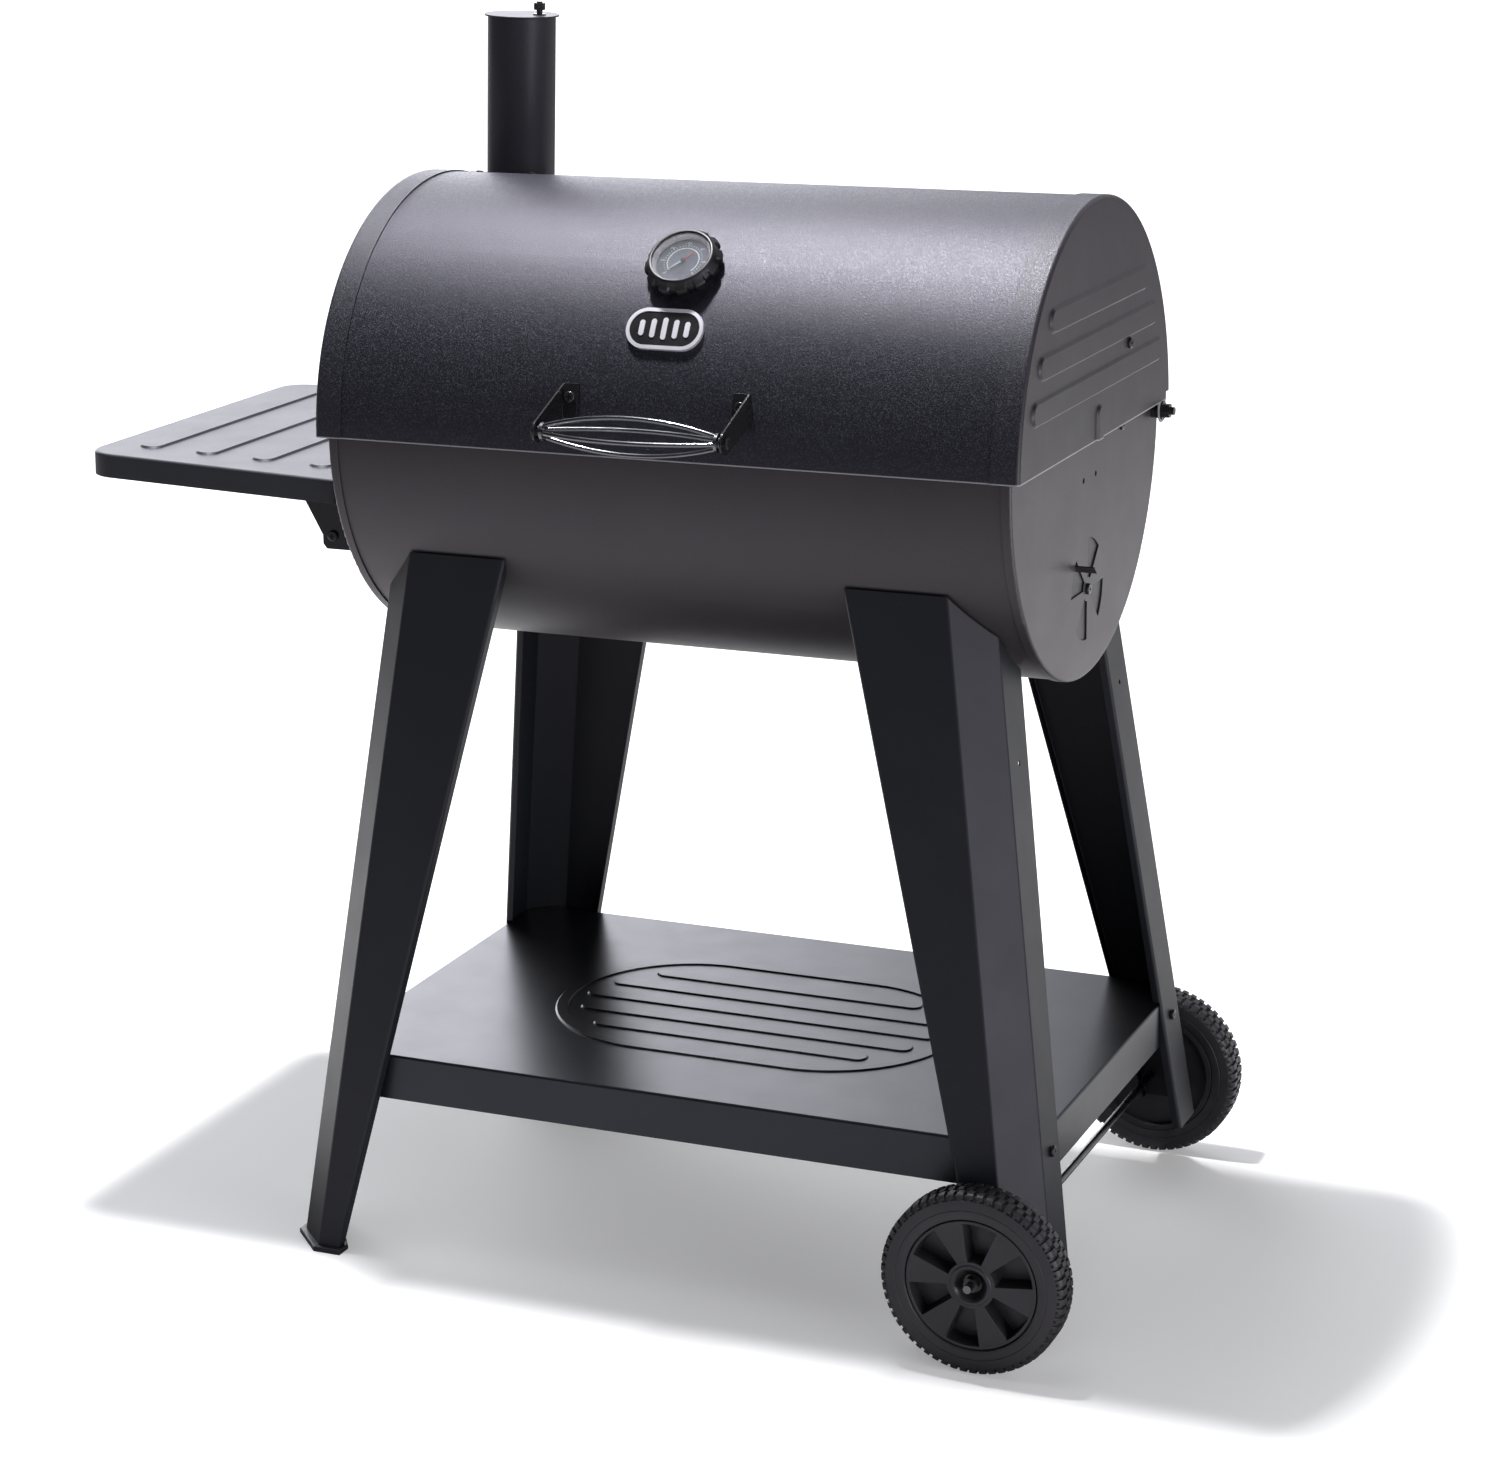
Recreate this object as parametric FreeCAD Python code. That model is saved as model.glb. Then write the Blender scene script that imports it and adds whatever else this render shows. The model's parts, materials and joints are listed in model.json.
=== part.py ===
"""Barrel charcoal grill: a pressed-steel barrel on four folded legs, with a hinged lid, a chimney with a
damper, an end vent, a side shelf, a bottom shelf and two wheels.

X runs along the barrel towards the vent and the wheels, Y to the back, Z up.  Every shape is drawn in the
barrel frame, whose origin is on the barrel's axis half way along it.  save() then moves it into the part's own
frame, whose origin is on the floor, under the middle of the whole grill.  All lengths are in millimetres.
"""
import FreeCAD, Part
import math
import os

from FreeCAD import Vector

# ---- Driving dimensions ----------------------------------------------------------------------------------
# Barrel
BODY_R = 228.6            # firebox outside radius: an 18 inch barrel
LID_R = 236.0             # lid outside radius, over the lips of its end caps
BODY_HALF = 350.0         # half length of the firebox over its end caps
LID_HALF = 360.0          # half length of the lid over its end caps
SHEET = 1.2               # barrel sheet thickness
SEAT_GAP = 0.1            # play between a cap's lip and the shell inside it
BODY_LIP = 10.0           # how far a firebox cap wraps over the shell
BODY_CORNER = 3.0         # outside bend radius of a firebox cap
LID_LIP = 28.0            # how far a lid cap wraps over the shell
LID_CORNER = 4.0          # outside bend radius of a lid cap
LID_EDGE_Z = 5.0          # bottom edge of the closed lid, front and ends
LID_REAR_Z = 13.0         # bottom edge of the lid at the back, clear of the firebox when it is open
RIM_Z = 12.0              # top edge of the firebox, inside the lid
RIM_FLANGE = 11.0         # width of the firebox's folded-in rim
# Pressed ribs on each lid end: height above the axis and half length
LID_RIBS = ((62.0, 203.0), (101.0, 184.0), (140.0, 153.0))
LID_RIB_HALF = 12.0
RIB_RISE = 2.5
SPIT_BUMP_TOP = 39.0      # top of the small upright pressing in the middle of a lid end
SPIT_BUMP_HALF = 9.0
# Lid hinge
HINGE_Y = 210.0
HINGE_Z = -4.0
HINGE_BOLT_R = 4.0
PIVOT_PLAY = 0.08         # radial running clearance of every pivot
EAR_R = 12.0
# Floor, wheels and axle
FLOOR_Z = -832.5
TYRE_R = 91.2
RIM_R = 65.4
AXLE_X = 343.0
AXLE_Z = FLOOR_Z + TYRE_R
AXLE_R = 4.0
AXLE_HALF = 321.0
WHEEL_INNER = 276.0
WHEEL_OUTER = 312.0
WINDOW_COUNT = 6
WINDOW_PHASE = 22.0
WINDOW_DEPTH = 26.0
HUB_RECESS = 9.0
HUB_DISH_R = 19.0
# Legs: each is one folded sheet with a front face, a 45 degree face, a side face and two return flanges.
# A pair gives the value at LEG_REF_Z and the value at the floor.
LEG_T = 1.5
LEG_BEND = 3.2            # outside bend radius of every fold
LEG_TOP_Z = -95.0
LEG_REF_Z = -106.0
LEG_INNER = (174.4, 353.0)     # x of the front face's inner edge
LEG_FOLD = (278.6, 375.3)      # x of the fold between the front face and the 45 degree face
LEG_FRONT = (201.0, 281.2)     # distance of the front face from the centre plane
LEG_SIDE_END = (110.0, 197.0)  # distance of the side face's free edge from the centre plane
LEG_CHAMFER = 34.5
LEG_FLANGE = 13.0
LEG_SIDE_FLANGE = 9.0
LEG_BARREL_GAP = 1.0
WHEEL_LEG_BOTTOM_Z = -765.0
LEG_HOLE_Z = -275.6
LEG_NOTCH = 3.0           # height of a leg's cut-out above the bottom shelf
FOOT_T = 5.0
FOOT_LIP = 5.5
FOOT_ROUND = 2.0
FOOT_PLUG = 12.0
FOOT_PLUG_PLAY = 0.3
# Brackets that join the legs to the barrel
LEG_BRACKET_X = (206.0, 266.0)
LEG_BRACKET_T = 2.0
LEG_BRACKET_TOP_Z = -116.0
LEG_BRACKET_HEEL_Z = -134.0
LEG_BRACKET_BOTTOM_Z = -176.0
LEG_BRACKET_SADDLE_Y = (162.0, 193.0)
LEG_BOLT_Y = 178.0
LEG_BOLT_X = (220.0, 252.0)
LEG_BRACKET_PLAY = 0.4    # gap between a bracket's tab and the leg's front face
# Bottom shelf
SHELF_HALF_X = 379.5
SHELF_HALF_Y = 243.0
SHELF_CORNER = 22.5
SHELF_Z = -624.0
SHELF_APRON = 47.0
SHELF_BOLT_Z = -642.6
SHELF_BOLT_Y = 200.0
EMBOSS_HALF_X = 220.0
EMBOSS_HALF_Y = 137.0
EMBOSS_RING = 13.0
EMBOSS_RISE = 1.5
EMBOSS_BAR_PITCH = 40.0
EMBOSS_BAR_HALF = 11.0
# Side shelf
SIDE_X0 = -645.0
SIDE_X1 = -353.0
SIDE_HALF_Y = 211.0
SIDE_Z = -42.0
SIDE_APRON = 24.0
SIDE_CORNER = 32.0
SIDE_RIB_PITCH = 65.5
SIDE_RIB_HALF = 13.5
SIDE_RIB_LENGTH = 168.0
SIDE_RIB_RISE = 2.0
SIDE_TILT = 2.0           # degrees that the side shelf rises towards its outer end
GUSSET_Y = 150.0
GUSSET_FLANGE = 18.0
GUSSET_OUTER_X = -446.0
GUSSET_BOTTOM_Z = -127.0
GUSSET_BOLTS = ((-394.0, -113.0), (-372.0, -57.0))
WALL_BOLTS_Z = (-74.0, -110.0)
# Lid handle
ARM_X = 93.5
ARM_T = 2.0
ARM_TAB = 16.5
TAB_Z = (40.0, 72.0)
HANDLE_Y = -284.0
HANDLE_Z = 36.5
HANDLE_EYE_R = 11.0
HANDLE_BOLT_X = 87.0
HANDLE_BOLT_ANGLE = 14.5
WIRE_COUNT = 4
WIRE_R = 2.3
WIRE_END = 5.5            # distance of a wire's end from the handle's axis
WIRE_BOW = 18.0           # distance of its middle from that axis
WIRE_HALF = 86.5
WIRE_PHASE = 8.0
# Thermometer and badge
GAUGE_X = 3.0
GAUGE_ANGLE = 48.0
GAUGE_CASE_R = 30.0
GAUGE_BORE_R = 27.8
GAUGE_COLLAR_R = 6.0
GAUGE_PROBE_R = 3.5
GAUGE_BEZEL_R = 38.0
GAUGE_LENS_R = 27.0
GAUGE_DIAL = 9.0          # height of the dial's underside above the lid
GAUGE_NOTCHES = 12
GAUGE_NOTCH_R = 4.2
BADGE_ANGLE = 31.5
BADGE_HALF = 39.0
BADGE_HALF_H = 20.5
BADGE_T = 3.6
BADGE_FLOOR = 2.2         # thickness of the badge under its inlay
BADGE_BAR_PITCH = 11.5
BADGE_BAR_HALF = 11.0
BADGE_BAR_STEP = 1.6      # how much shorter each bar is than the one nearer the middle
# Chimney
CHIMNEY_X = -296.0
CHIMNEY_Y = 98.0
CHIMNEY_R = 34.7
CHIMNEY_T = 1.5
CHIMNEY_TOP = 384.0
CHIMNEY_LEAN = 2.3        # degrees that the chimney leans towards the middle of the lid
CHIMNEY_FLANGE = (35.5, 44.0)
CHIMNEY_BOLT = (30.0, 34.0)
DAMPER_OFFSET = 20.0
DAMPER_R = 38.0
DAMPER_BOLT_R = 3.0
# Firebox vent
VENT_Z = -142.0
VENT_IN = 12.0
VENT_OUT = 50.0
VENT_COUNT = 4
VENT_PHASE = 67.5
VENT_HALF_ANGLE = 22.5
VENT_TAB_ANGLE = 139.5
# Grates
GRATE_Z = -14.0
GRATE_HALF_X = 342.0
GRATE_HALF_Y = 218.0
GRATE_PITCH = 14.8
GRATE_WIRE = 2.2
GRATE_FRAME = 3.0
COAL_Z = -130.0
COAL_HALF_X = 336.0
COAL_HALF_Y = 178.0
COAL_PITCH = 24.0
# Bolts that show on the barrel's ends: distance back from the centre plane, height
LID_END_BOLT = (93.0, 83.0)
BODY_END_BOLT = (103.0, -0.5)
HOOK_HOLES_Y = (-15.0, 23.0)
HOOK_HOLES_Z = -33.0
HOOK_HOLE_R = 2.75

X_AXIS = Vector(1, 0, 0)
Y_AXIS = Vector(0, 1, 0)
Z_AXIS = Vector(0, 0, 1)
ORIGIN = Vector(0, 0, 0)
FAR = 2000.0
HOLE_PLAY = 0.25          # radial clearance of a bolt in a sheet
THREAD_PLAY = 0.02        # radial gap between a nut and its bolt
FIT = 0.05                # gap between faces that bear on each other

SHELL_R = BODY_R - SHEET - SEAT_GAP
LID_SHELL_R = LID_R - SHEET - SEAT_GAP
# The part's frame: half way between the side shelf's edge and the tyres, on the floor.
SIDE_TURN = math.radians(SIDE_TILT)
SIDE_REACH = (SIDE_X1 - SIDE_X0) * math.cos(SIDE_TURN) + SIDE_APRON * math.sin(SIDE_TURN)
FRAME_SHIFT = Vector(-(SIDE_X1 - SIDE_REACH + AXLE_X + TYRE_R) / 2, 0, -FLOOR_Z)
CHIMNEY_FOOT = Vector(CHIMNEY_X, CHIMNEY_Y, math.sqrt(LID_SHELL_R ** 2 - CHIMNEY_Y ** 2))


# ---- Helpers ---------------------------------------------------------------------------------------------
def save(name, shape):
    """Write one sub-part, moved from the barrel frame into the part's frame."""
    placed = shape.copy()
    placed.translate(FRAME_SHIFT)
    placed.exportStep("parts/" + name + ".step")


def box(x0, y0, z0, x1, y1, z1):
    return Part.makeBox(x1 - x0, y1 - y0, z1 - z0, Vector(x0, y0, z0))


def rod(r, start, end):
    """A round bar from one point to another."""
    return Part.makeCylinder(r, (end - start).Length, start, end - start)


def rod_x(r, x0, x1, y=0.0, z=0.0):
    return rod(r, Vector(x0, y, z), Vector(x1, y, z))


def rod_y(r, y0, y1, x, z):
    return rod(r, Vector(x, y0, z), Vector(x, y1, z))


def rod_z(r, z0, z1, x, y):
    return rod(r, Vector(x, y, z0), Vector(x, y, z1))


def ring_x(r_out, r_in, x0, x1):
    """A tube along the barrel's axis."""
    return rod_x(r_out, x0, x1).cut(rod_x(r_in, x0, x1))


def unit(v):
    return v * (1.0 / v.Length)


def hexagon(across_flats, start, end):
    """A hexagonal bar from one point to another, such as a nut or a bolt head."""
    along = unit(end - start)
    across = unit(along.cross(Z_AXIS if abs(along.z) < 0.9 else X_AXIS))
    other = along.cross(across)
    radius = across_flats / math.sqrt(3)
    corners = []
    for i in range(7):
        turn = math.radians(60 * i)
        corners.append(start + across * (radius * math.cos(turn)) + other * (radius * math.sin(turn)))
    return Part.Face(Part.makePolygon(corners)).extrude(end - start)


def mirrored(shape, normal):
    """The same shape on the other side of the centre plane that has this normal."""
    return shape.mirror(ORIGIN, normal)


def both_ends(shape):
    """A shape at the right end, and its copy at the left end."""
    return [shape, mirrored(shape, X_AXIS)]


def four_corners(shape):
    """A front right shape and its copies at the other three corners."""
    return both_ends(shape) + both_ends(mirrored(shape, Y_AXIS))


def tilted(shape, centre, degrees):
    """A copy turned about a line along Y, with its top moving towards +X."""
    copy = shape.copy()
    copy.rotate(centre, Y_AXIS, degrees)
    return copy


def fused(shapes):
    return shapes[0].multiFuse(shapes[1:]).removeSplitter()


def prism(points, along):
    """Extrude a closed outline of points."""
    return Part.Face(Part.makePolygon(points + [points[0]])).extrude(along)


def stadium(centre, normal, long_dir, half_len, half_width):
    """A pill-shaped wire: half_len reaches its round end and half_width its straight side."""
    side = normal.cross(long_dir) * half_width
    reach = long_dir * (half_len - half_width)
    tip = long_dir * half_len
    return Part.Wire([
        Part.Arc(centre + reach + side, centre + tip, centre + reach - side).toShape(),
        Part.makeLine(centre + reach - side, centre - reach - side),
        Part.Arc(centre - reach - side, centre - tip, centre - reach + side).toShape(),
        Part.makeLine(centre - reach + side, centre + reach + side),
    ])


def pad(centre, normal, long_dir, half_len, half_width, rise, taper):
    """A raised pill with sloping sides."""
    base = stadium(centre, normal, long_dir, half_len, half_width)
    top = stadium(centre + normal * rise, normal, long_dir, half_len - taper, half_width - taper)
    return Part.makeLoft([base, top], True, True)


def pressed_rib(centre, normal, long_dir, half_len, half_width, rise):
    """What a pressed rib adds to the outside of a sheet, and what it takes from the inside."""
    added = pad(centre, normal, long_dir, half_len, half_width, rise, rise)
    taken = pad(centre - normal * SHEET, normal, long_dir, half_len - 0.5, half_width - 0.5, rise, rise)
    return added, taken


def rounded_prism(x0, x1, half_y, z0, z1, r0, r1):
    """A plate with rounded corners: radius r0 at its x0 end, r1 at its x1 end."""
    y = half_y
    d0 = r0 * (1 - math.sqrt(0.5))
    d1 = r1 * (1 - math.sqrt(0.5))
    outline = Part.Wire([
        Part.makeLine(Vector(x0 + r0, -y, z0), Vector(x1 - r1, -y, z0)),
        Part.Arc(Vector(x1 - r1, -y, z0), Vector(x1 - d1, d1 - y, z0), Vector(x1, r1 - y, z0)).toShape(),
        Part.makeLine(Vector(x1, r1 - y, z0), Vector(x1, y - r1, z0)),
        Part.Arc(Vector(x1, y - r1, z0), Vector(x1 - d1, y - d1, z0), Vector(x1 - r1, y, z0)).toShape(),
        Part.makeLine(Vector(x1 - r1, y, z0), Vector(x0 + r0, y, z0)),
        Part.Arc(Vector(x0 + r0, y, z0), Vector(x0 + d0, y - d0, z0), Vector(x0, y - r0, z0)).toShape(),
        Part.makeLine(Vector(x0, y - r0, z0), Vector(x0, r0 - y, z0)),
        Part.Arc(Vector(x0, r0 - y, z0), Vector(x0 + d0, d0 - y, z0), Vector(x0 + r0, -y, z0)).toShape(),
    ])
    return Part.Face(outline).extrude(Z_AXIS * (z1 - z0))


def fillet_top(shape, radius):
    """Round the edges of a shape's highest flat face."""
    top = shape.BoundBox.ZMax
    edges = [e for e in shape.Edges if e.BoundBox.ZMin > top - 0.01]
    return shape.makeFillet(radius, edges)


def sector(x0, x1, z_centre, r_in, r_out, from_deg, to_deg):
    """Part of a ring around an X axis through the centre plane, with angles counted from +Y towards +Z."""
    def at(r, degrees):
        turn = math.radians(degrees)
        return Vector(x0, r * math.cos(turn), z_centre + r * math.sin(turn))
    middle = (from_deg + to_deg) / 2
    outline = Part.Wire([
        Part.makeLine(at(r_in, from_deg), at(r_out, from_deg)),
        Part.Arc(at(r_out, from_deg), at(r_out, middle), at(r_out, to_deg)).toShape(),
        Part.makeLine(at(r_out, to_deg), at(r_in, to_deg)),
        Part.Arc(at(r_in, to_deg), at(r_in, middle), at(r_in, from_deg)).toShape(),
    ])
    return Part.Face(outline).extrude(X_AXIS * (x1 - x0))


def radial(r, degrees, x=0.0):
    """A point at radius r from the barrel's axis, at an angle up from the front horizontal."""
    turn = math.radians(degrees)
    return Vector(x, -r * math.cos(turn), r * math.sin(turn))


# ---- Fasteners -------------------------------------------------------------------------------------------
class Bolt:
    """A bolt with its head on a face at `at`, pointing along `into`, with a nut at the end of its grip."""

    def __init__(self, at, into, grip, r=3.0, head_r=5.5, head_h=3.2, nut_flats=10.0):
        self.at = at
        self.into = unit(into)
        self.grip = grip
        self.r = r
        self.head_r = head_r
        self.head_h = head_h
        self.nut_flats = nut_flats

    def solids(self):
        nut_h = 1.6 * self.r
        end = self.grip + nut_h + 0.8 * self.r
        head = rod(self.head_r, self.at - self.into * self.head_h, self.at)
        crown = [e for e in head.Edges if e.Closed and (e.CenterOfMass - self.at).Length > 0.5 * self.head_h]
        head = head.makeFillet(0.45 * self.head_h, crown).cut(self.cross_recess())
        shank = rod(self.r, self.at, self.at + self.into * end)
        nut_start = self.at + self.into * (self.grip + FIT)
        nut_end = nut_start + self.into * nut_h
        nut = hexagon(self.nut_flats, nut_start, nut_end)
        nut = nut.cut(rod(self.r + THREAD_PLAY, nut_start, nut_end))
        return [head.fuse(shank), nut]

    def cross_recess(self):
        """The two slots of a cross-headed screw."""
        across = unit(self.into.cross(Z_AXIS if abs(self.into.z) < 0.9 else X_AXIS))
        other = self.into.cross(across)
        top = self.at - self.into * (self.head_h + 0.1)
        slots = []
        for along, beside in ((across, other), (other, across)):
            reach = along * (0.55 * self.head_r)
            half = beside * (0.12 * self.head_r)
            outline = [top - reach - half, top + reach - half, top + reach + half, top - reach + half]
            slots.append(prism(outline, self.into * (0.55 * self.head_h)))
        return slots

    def hole(self):
        return rod(self.r + HOLE_PLAY, self.at - self.into * 2, self.at + self.into * (self.grip + 2))


def bolt_group(bolts):
    return Part.makeCompound([s for b in bolts for s in b.solids()])


def drilled(shape, bolts):
    return shape.cut([b.hole() for b in bolts])


def handle_bolts():
    grip = ARM_T + SHEET + FIT
    bolts = []
    for x in (-HANDLE_BOLT_X, HANDLE_BOLT_X):
        at = radial(LID_SHELL_R + FIT + ARM_T, HANDLE_BOLT_ANGLE, x)
        bolts.append(Bolt(at, radial(-1, HANDLE_BOLT_ANGLE), grip))
    return bolts


def chimney_bolts():
    bolts = []
    for dx in (-CHIMNEY_BOLT[0], CHIMNEY_BOLT[0]):
        for dy in (-CHIMNEY_BOLT[1], CHIMNEY_BOLT[1]):
            y = CHIMNEY_Y + dy
            out = Vector(0, y, math.sqrt(LID_SHELL_R ** 2 - y ** 2)) * (1.0 / LID_SHELL_R)
            at = Vector(CHIMNEY_X + dx, 0, 0) + out * (LID_SHELL_R + CHIMNEY_T + FIT)
            bolts.append(Bolt(at, out * -1, CHIMNEY_T + SHEET + FIT, 2.0, 3.8, 2.4, 7.0))
    return bolts


def lid_end_bolts():
    y, z = LID_END_BOLT
    return [Bolt(Vector(s * LID_HALF, y, z), X_AXIS * -s, SHEET) for s in (-1, 1)]


def firebox_end_bolts():
    y, z = BODY_END_BOLT
    return [Bolt(Vector(s * BODY_HALF, y, z), X_AXIS * -s, SHEET, 2.5, 4.6, 2.8, 8.0) for s in (-1, 1)]


def leg_bolts():
    """Bolts with their heads inside the firebox, through the shell and the saddle of each leg bracket."""
    inside = SHELL_R - SHEET - 0.1
    grip = BODY_R + FIT + LEG_BRACKET_T - inside
    bolts = []
    for sy in (-1, 1):
        y = sy * LEG_BOLT_Y
        out = Vector(0, y, -math.sqrt(BODY_R ** 2 - y ** 2)) * (1.0 / BODY_R)
        for sx in (-1, 1):
            for x in LEG_BOLT_X:
                bolts.append(Bolt(Vector(sx * x, 0, 0) + out * inside, out, grip))
    return bolts


def shelf_bolts():
    """Bolts along X through each leg's side face into the bottom shelf's apron."""
    head_x = leg_value(LEG_FOLD, SHELF_BOLT_Z) + LEG_CHAMFER + 0.8
    grip = head_x - SHELF_HALF_X + SHEET
    bolts = []
    for sx in (-1, 1):
        for sy in (-1, 1):
            at = Vector(sx * head_x, sy * SHELF_BOLT_Y, SHELF_BOLT_Z)
            bolts.append(Bolt(at, X_AXIS * -sx, grip))
    return bolts


def side_shelf_wall_bolts():
    """Bolts along X through each wall bracket into the firebox's left end."""
    head_x = -BODY_HALF - LEG_T - FIT
    bolts = []
    for sy in (-1, 1):
        for z in WALL_BOLTS_Z:
            bolts.append(Bolt(Vector(head_x, sy * (GUSSET_Y - 11), z), X_AXIS, LEG_T + SHEET + FIT))
    return bolts


def gusset_bolts():
    """Bolts along Y that clamp each gusset to its wall bracket."""
    bolts = []
    for sy in (-1, 1):
        for x, z in GUSSET_BOLTS:
            bolts.append(Bolt(Vector(x, sy * GUSSET_Y, z), Y_AXIS * -sy, 2 * LEG_T + FIT))
    return bolts


# ---- Barrel ----------------------------------------------------------------------------------------------
def end_cap(face_x, r, lip, corner):
    """The right end of a barrel: a disc whose edge is bent into a lip that wraps over the shell."""
    t = SHEET
    bend = math.sqrt(0.5)

    def at(depth, radius):
        return Vector(face_x - depth, 0, radius)
    profile = Part.Wire([
        Part.makeLine(at(0, 0), at(0, r - corner)),
        Part.Arc(at(0, r - corner), at(corner * (1 - bend), r - corner * (1 - bend)), at(corner, r)).toShape(),
        Part.makeLine(at(corner, r), at(lip, r)),
        Part.makeLine(at(lip, r), at(lip, r - t)),
        Part.makeLine(at(lip, r - t), at(corner, r - t)),
        Part.Arc(
            at(corner, r - t),
            at(corner - (corner - t) * bend, r - corner + (corner - t) * bend),
            at(t, r - corner),
        ).toShape(),
        Part.makeLine(at(t, r - corner), at(t, 0)),
        Part.makeLine(at(t, 0), at(0, 0)),
    ])
    return Part.Face(profile).revolve(ORIGIN, X_AXIS, 360)


def firebox_shell():
    half = BODY_HALF - BODY_CORNER
    shell = ring_x(SHELL_R, SHELL_R - SHEET, -half, half)
    shell = shell.cut(box(-FAR, -FAR, RIM_Z, FAR, FAR, FAR))
    inner = SHELL_R - SHEET
    rim_y = math.sqrt(inner ** 2 - RIM_Z ** 2)
    rim = box(-half, -rim_y - 0.5, RIM_Z - SHEET, half, RIM_FLANGE - rim_y, RIM_Z)
    return drilled(fused([shell, rim, mirrored(rim, Y_AXIS)]), leg_bolts())


def vent_cutters():
    cutters = []
    for i in range(VENT_COUNT):
        middle = VENT_PHASE + 360.0 / VENT_COUNT * i
        low = middle - VENT_HALF_ANGLE
        high = middle + VENT_HALF_ANGLE
        cutters.append(sector(BODY_HALF - 5, BODY_HALF + 5, VENT_Z, VENT_IN, VENT_OUT, low, high))
    return cutters


def firebox_end():
    """The right end of the firebox without its vent."""
    cap = end_cap(BODY_HALF, BODY_R, BODY_LIP, BODY_CORNER)
    cap = cap.cut(box(0, -FAR, RIM_Z, FAR, FAR, FAR))
    return cap.cut(rod_x(HINGE_BOLT_R + HOLE_PLAY, 0, FAR, HINGE_Y, HINGE_Z))


def firebox_end_right():
    cap = firebox_end().cut(vent_cutters())
    cap = cap.cut(rod_x(3.0 + HOLE_PLAY, 0, FAR, 0, VENT_Z))
    cap = cap.cut([rod_x(HOOK_HOLE_R, 0, FAR, y, HOOK_HOLES_Z) for y in HOOK_HOLES_Y])
    return drilled(cap, firebox_end_bolts()[1:])


def firebox_end_left():
    cap = mirrored(firebox_end(), X_AXIS)
    return drilled(cap, firebox_end_bolts()[:1] + side_shelf_wall_bolts())


def lid_cut():
    """Everything below the closed lid's edges, with the edge higher behind the hinge."""
    below = box(-FAR, -FAR, -FAR, FAR, FAR, LID_EDGE_Z)
    behind = box(-FAR, HINGE_Y + EAR_R + 1, -FAR, FAR, FAR, LID_REAR_Z)
    return [below, behind]


def lid_shell():
    half = LID_HALF - LID_CORNER
    shell = ring_x(LID_SHELL_R, LID_SHELL_R - SHEET, -half, half).cut(lid_cut())
    shell = shell.cut(chimney_rod(CHIMNEY_R - CHIMNEY_T, 100, FAR))
    shell = shell.cut(gauge_rod(GAUGE_COLLAR_R + HOLE_PLAY, -20, 20))
    return drilled(shell, handle_bolts() + chimney_bolts())


def lid_end(side):
    """One end of the lid, right (+1) or left (-1), with pressed ribs, an upright pressing and a hinge ear."""
    out = X_AXIS * side
    face_x = LID_HALF * side
    inner_x = (LID_HALF - SHEET) * side
    cap = end_cap(LID_HALF, LID_R, LID_LIP, LID_CORNER)
    if side < 0:
        cap = mirrored(cap, X_AXIS)
    ribs = [pressed_rib(Vector(face_x, 0, 0), out, Z_AXIS, SPIT_BUMP_TOP, SPIT_BUMP_HALF, RIB_RISE)]
    for z, half in LID_RIBS:
        ribs.append(pressed_rib(Vector(face_x, 0, z), out, Y_AXIS, half, LID_RIB_HALF, RIB_RISE))
    cap = cap.multiFuse([r[0] for r in ribs]).cut([r[1] for r in ribs]).cut(lid_cut())
    ear = rod_x(EAR_R, min(face_x, inner_x), max(face_x, inner_x), HINGE_Y, HINGE_Z)
    neck = box(
        min(face_x, inner_x), HINGE_Y - EAR_R, HINGE_Z,
        max(face_x, inner_x), HINGE_Y + EAR_R, LID_EDGE_Z + 2)
    cap = fused([cap, ear, neck]).cut(rod_x(HINGE_BOLT_R + PIVOT_PLAY, -FAR, FAR, HINGE_Y, HINGE_Z))
    return drilled(cap, lid_end_bolts())


def hinge_bolt():
    """Right hinge pivot: a bolt from inside the firebox end, with its nut and washer outside the lid ear."""
    shank = rod_x(HINGE_BOLT_R, BODY_HALF - SHEET, LID_HALF + 13, HINGE_Y, HINGE_Z)
    seat = Vector(BODY_HALF - SHEET, HINGE_Y, HINGE_Z)
    return hexagon(13, seat - X_AXIS * 5.3, seat).fuse(shank)


def hinge_spacer():
    """The sleeve that holds the lid ear off the firebox end."""
    x0 = BODY_HALF + FIT
    x1 = LID_HALF - SHEET - 3 * FIT
    sleeve = rod_x(8, x0, x1, HINGE_Y, HINGE_Z)
    return sleeve.cut(rod_x(HINGE_BOLT_R + FIT, x0, x1, HINGE_Y, HINGE_Z))


def hinge_nut():
    x0 = LID_HALF + 4 * FIT
    washer = rod_x(9.5, x0, x0 + 1.6, HINGE_Y, HINGE_Z)
    nut = hexagon(13, Vector(x0 + 1.6, HINGE_Y, HINGE_Z), Vector(x0 + 8.4, HINGE_Y, HINGE_Z))
    return washer.fuse(nut).cut(rod_x(HINGE_BOLT_R + THREAD_PLAY, 0, FAR, HINGE_Y, HINGE_Z))


# ---- Lid handle ------------------------------------------------------------------------------------------
def tangent_point(p, centre, r, side):
    """Where a line from p touches a circle, on one side (+1) or the other (-1), all in the YZ plane."""
    to_p = p - centre
    spread = math.acos(r / to_p.Length)
    turn = math.atan2(to_p.z, to_p.y) + side * spread
    return centre + Vector(0, r * math.cos(turn), r * math.sin(turn))


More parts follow.
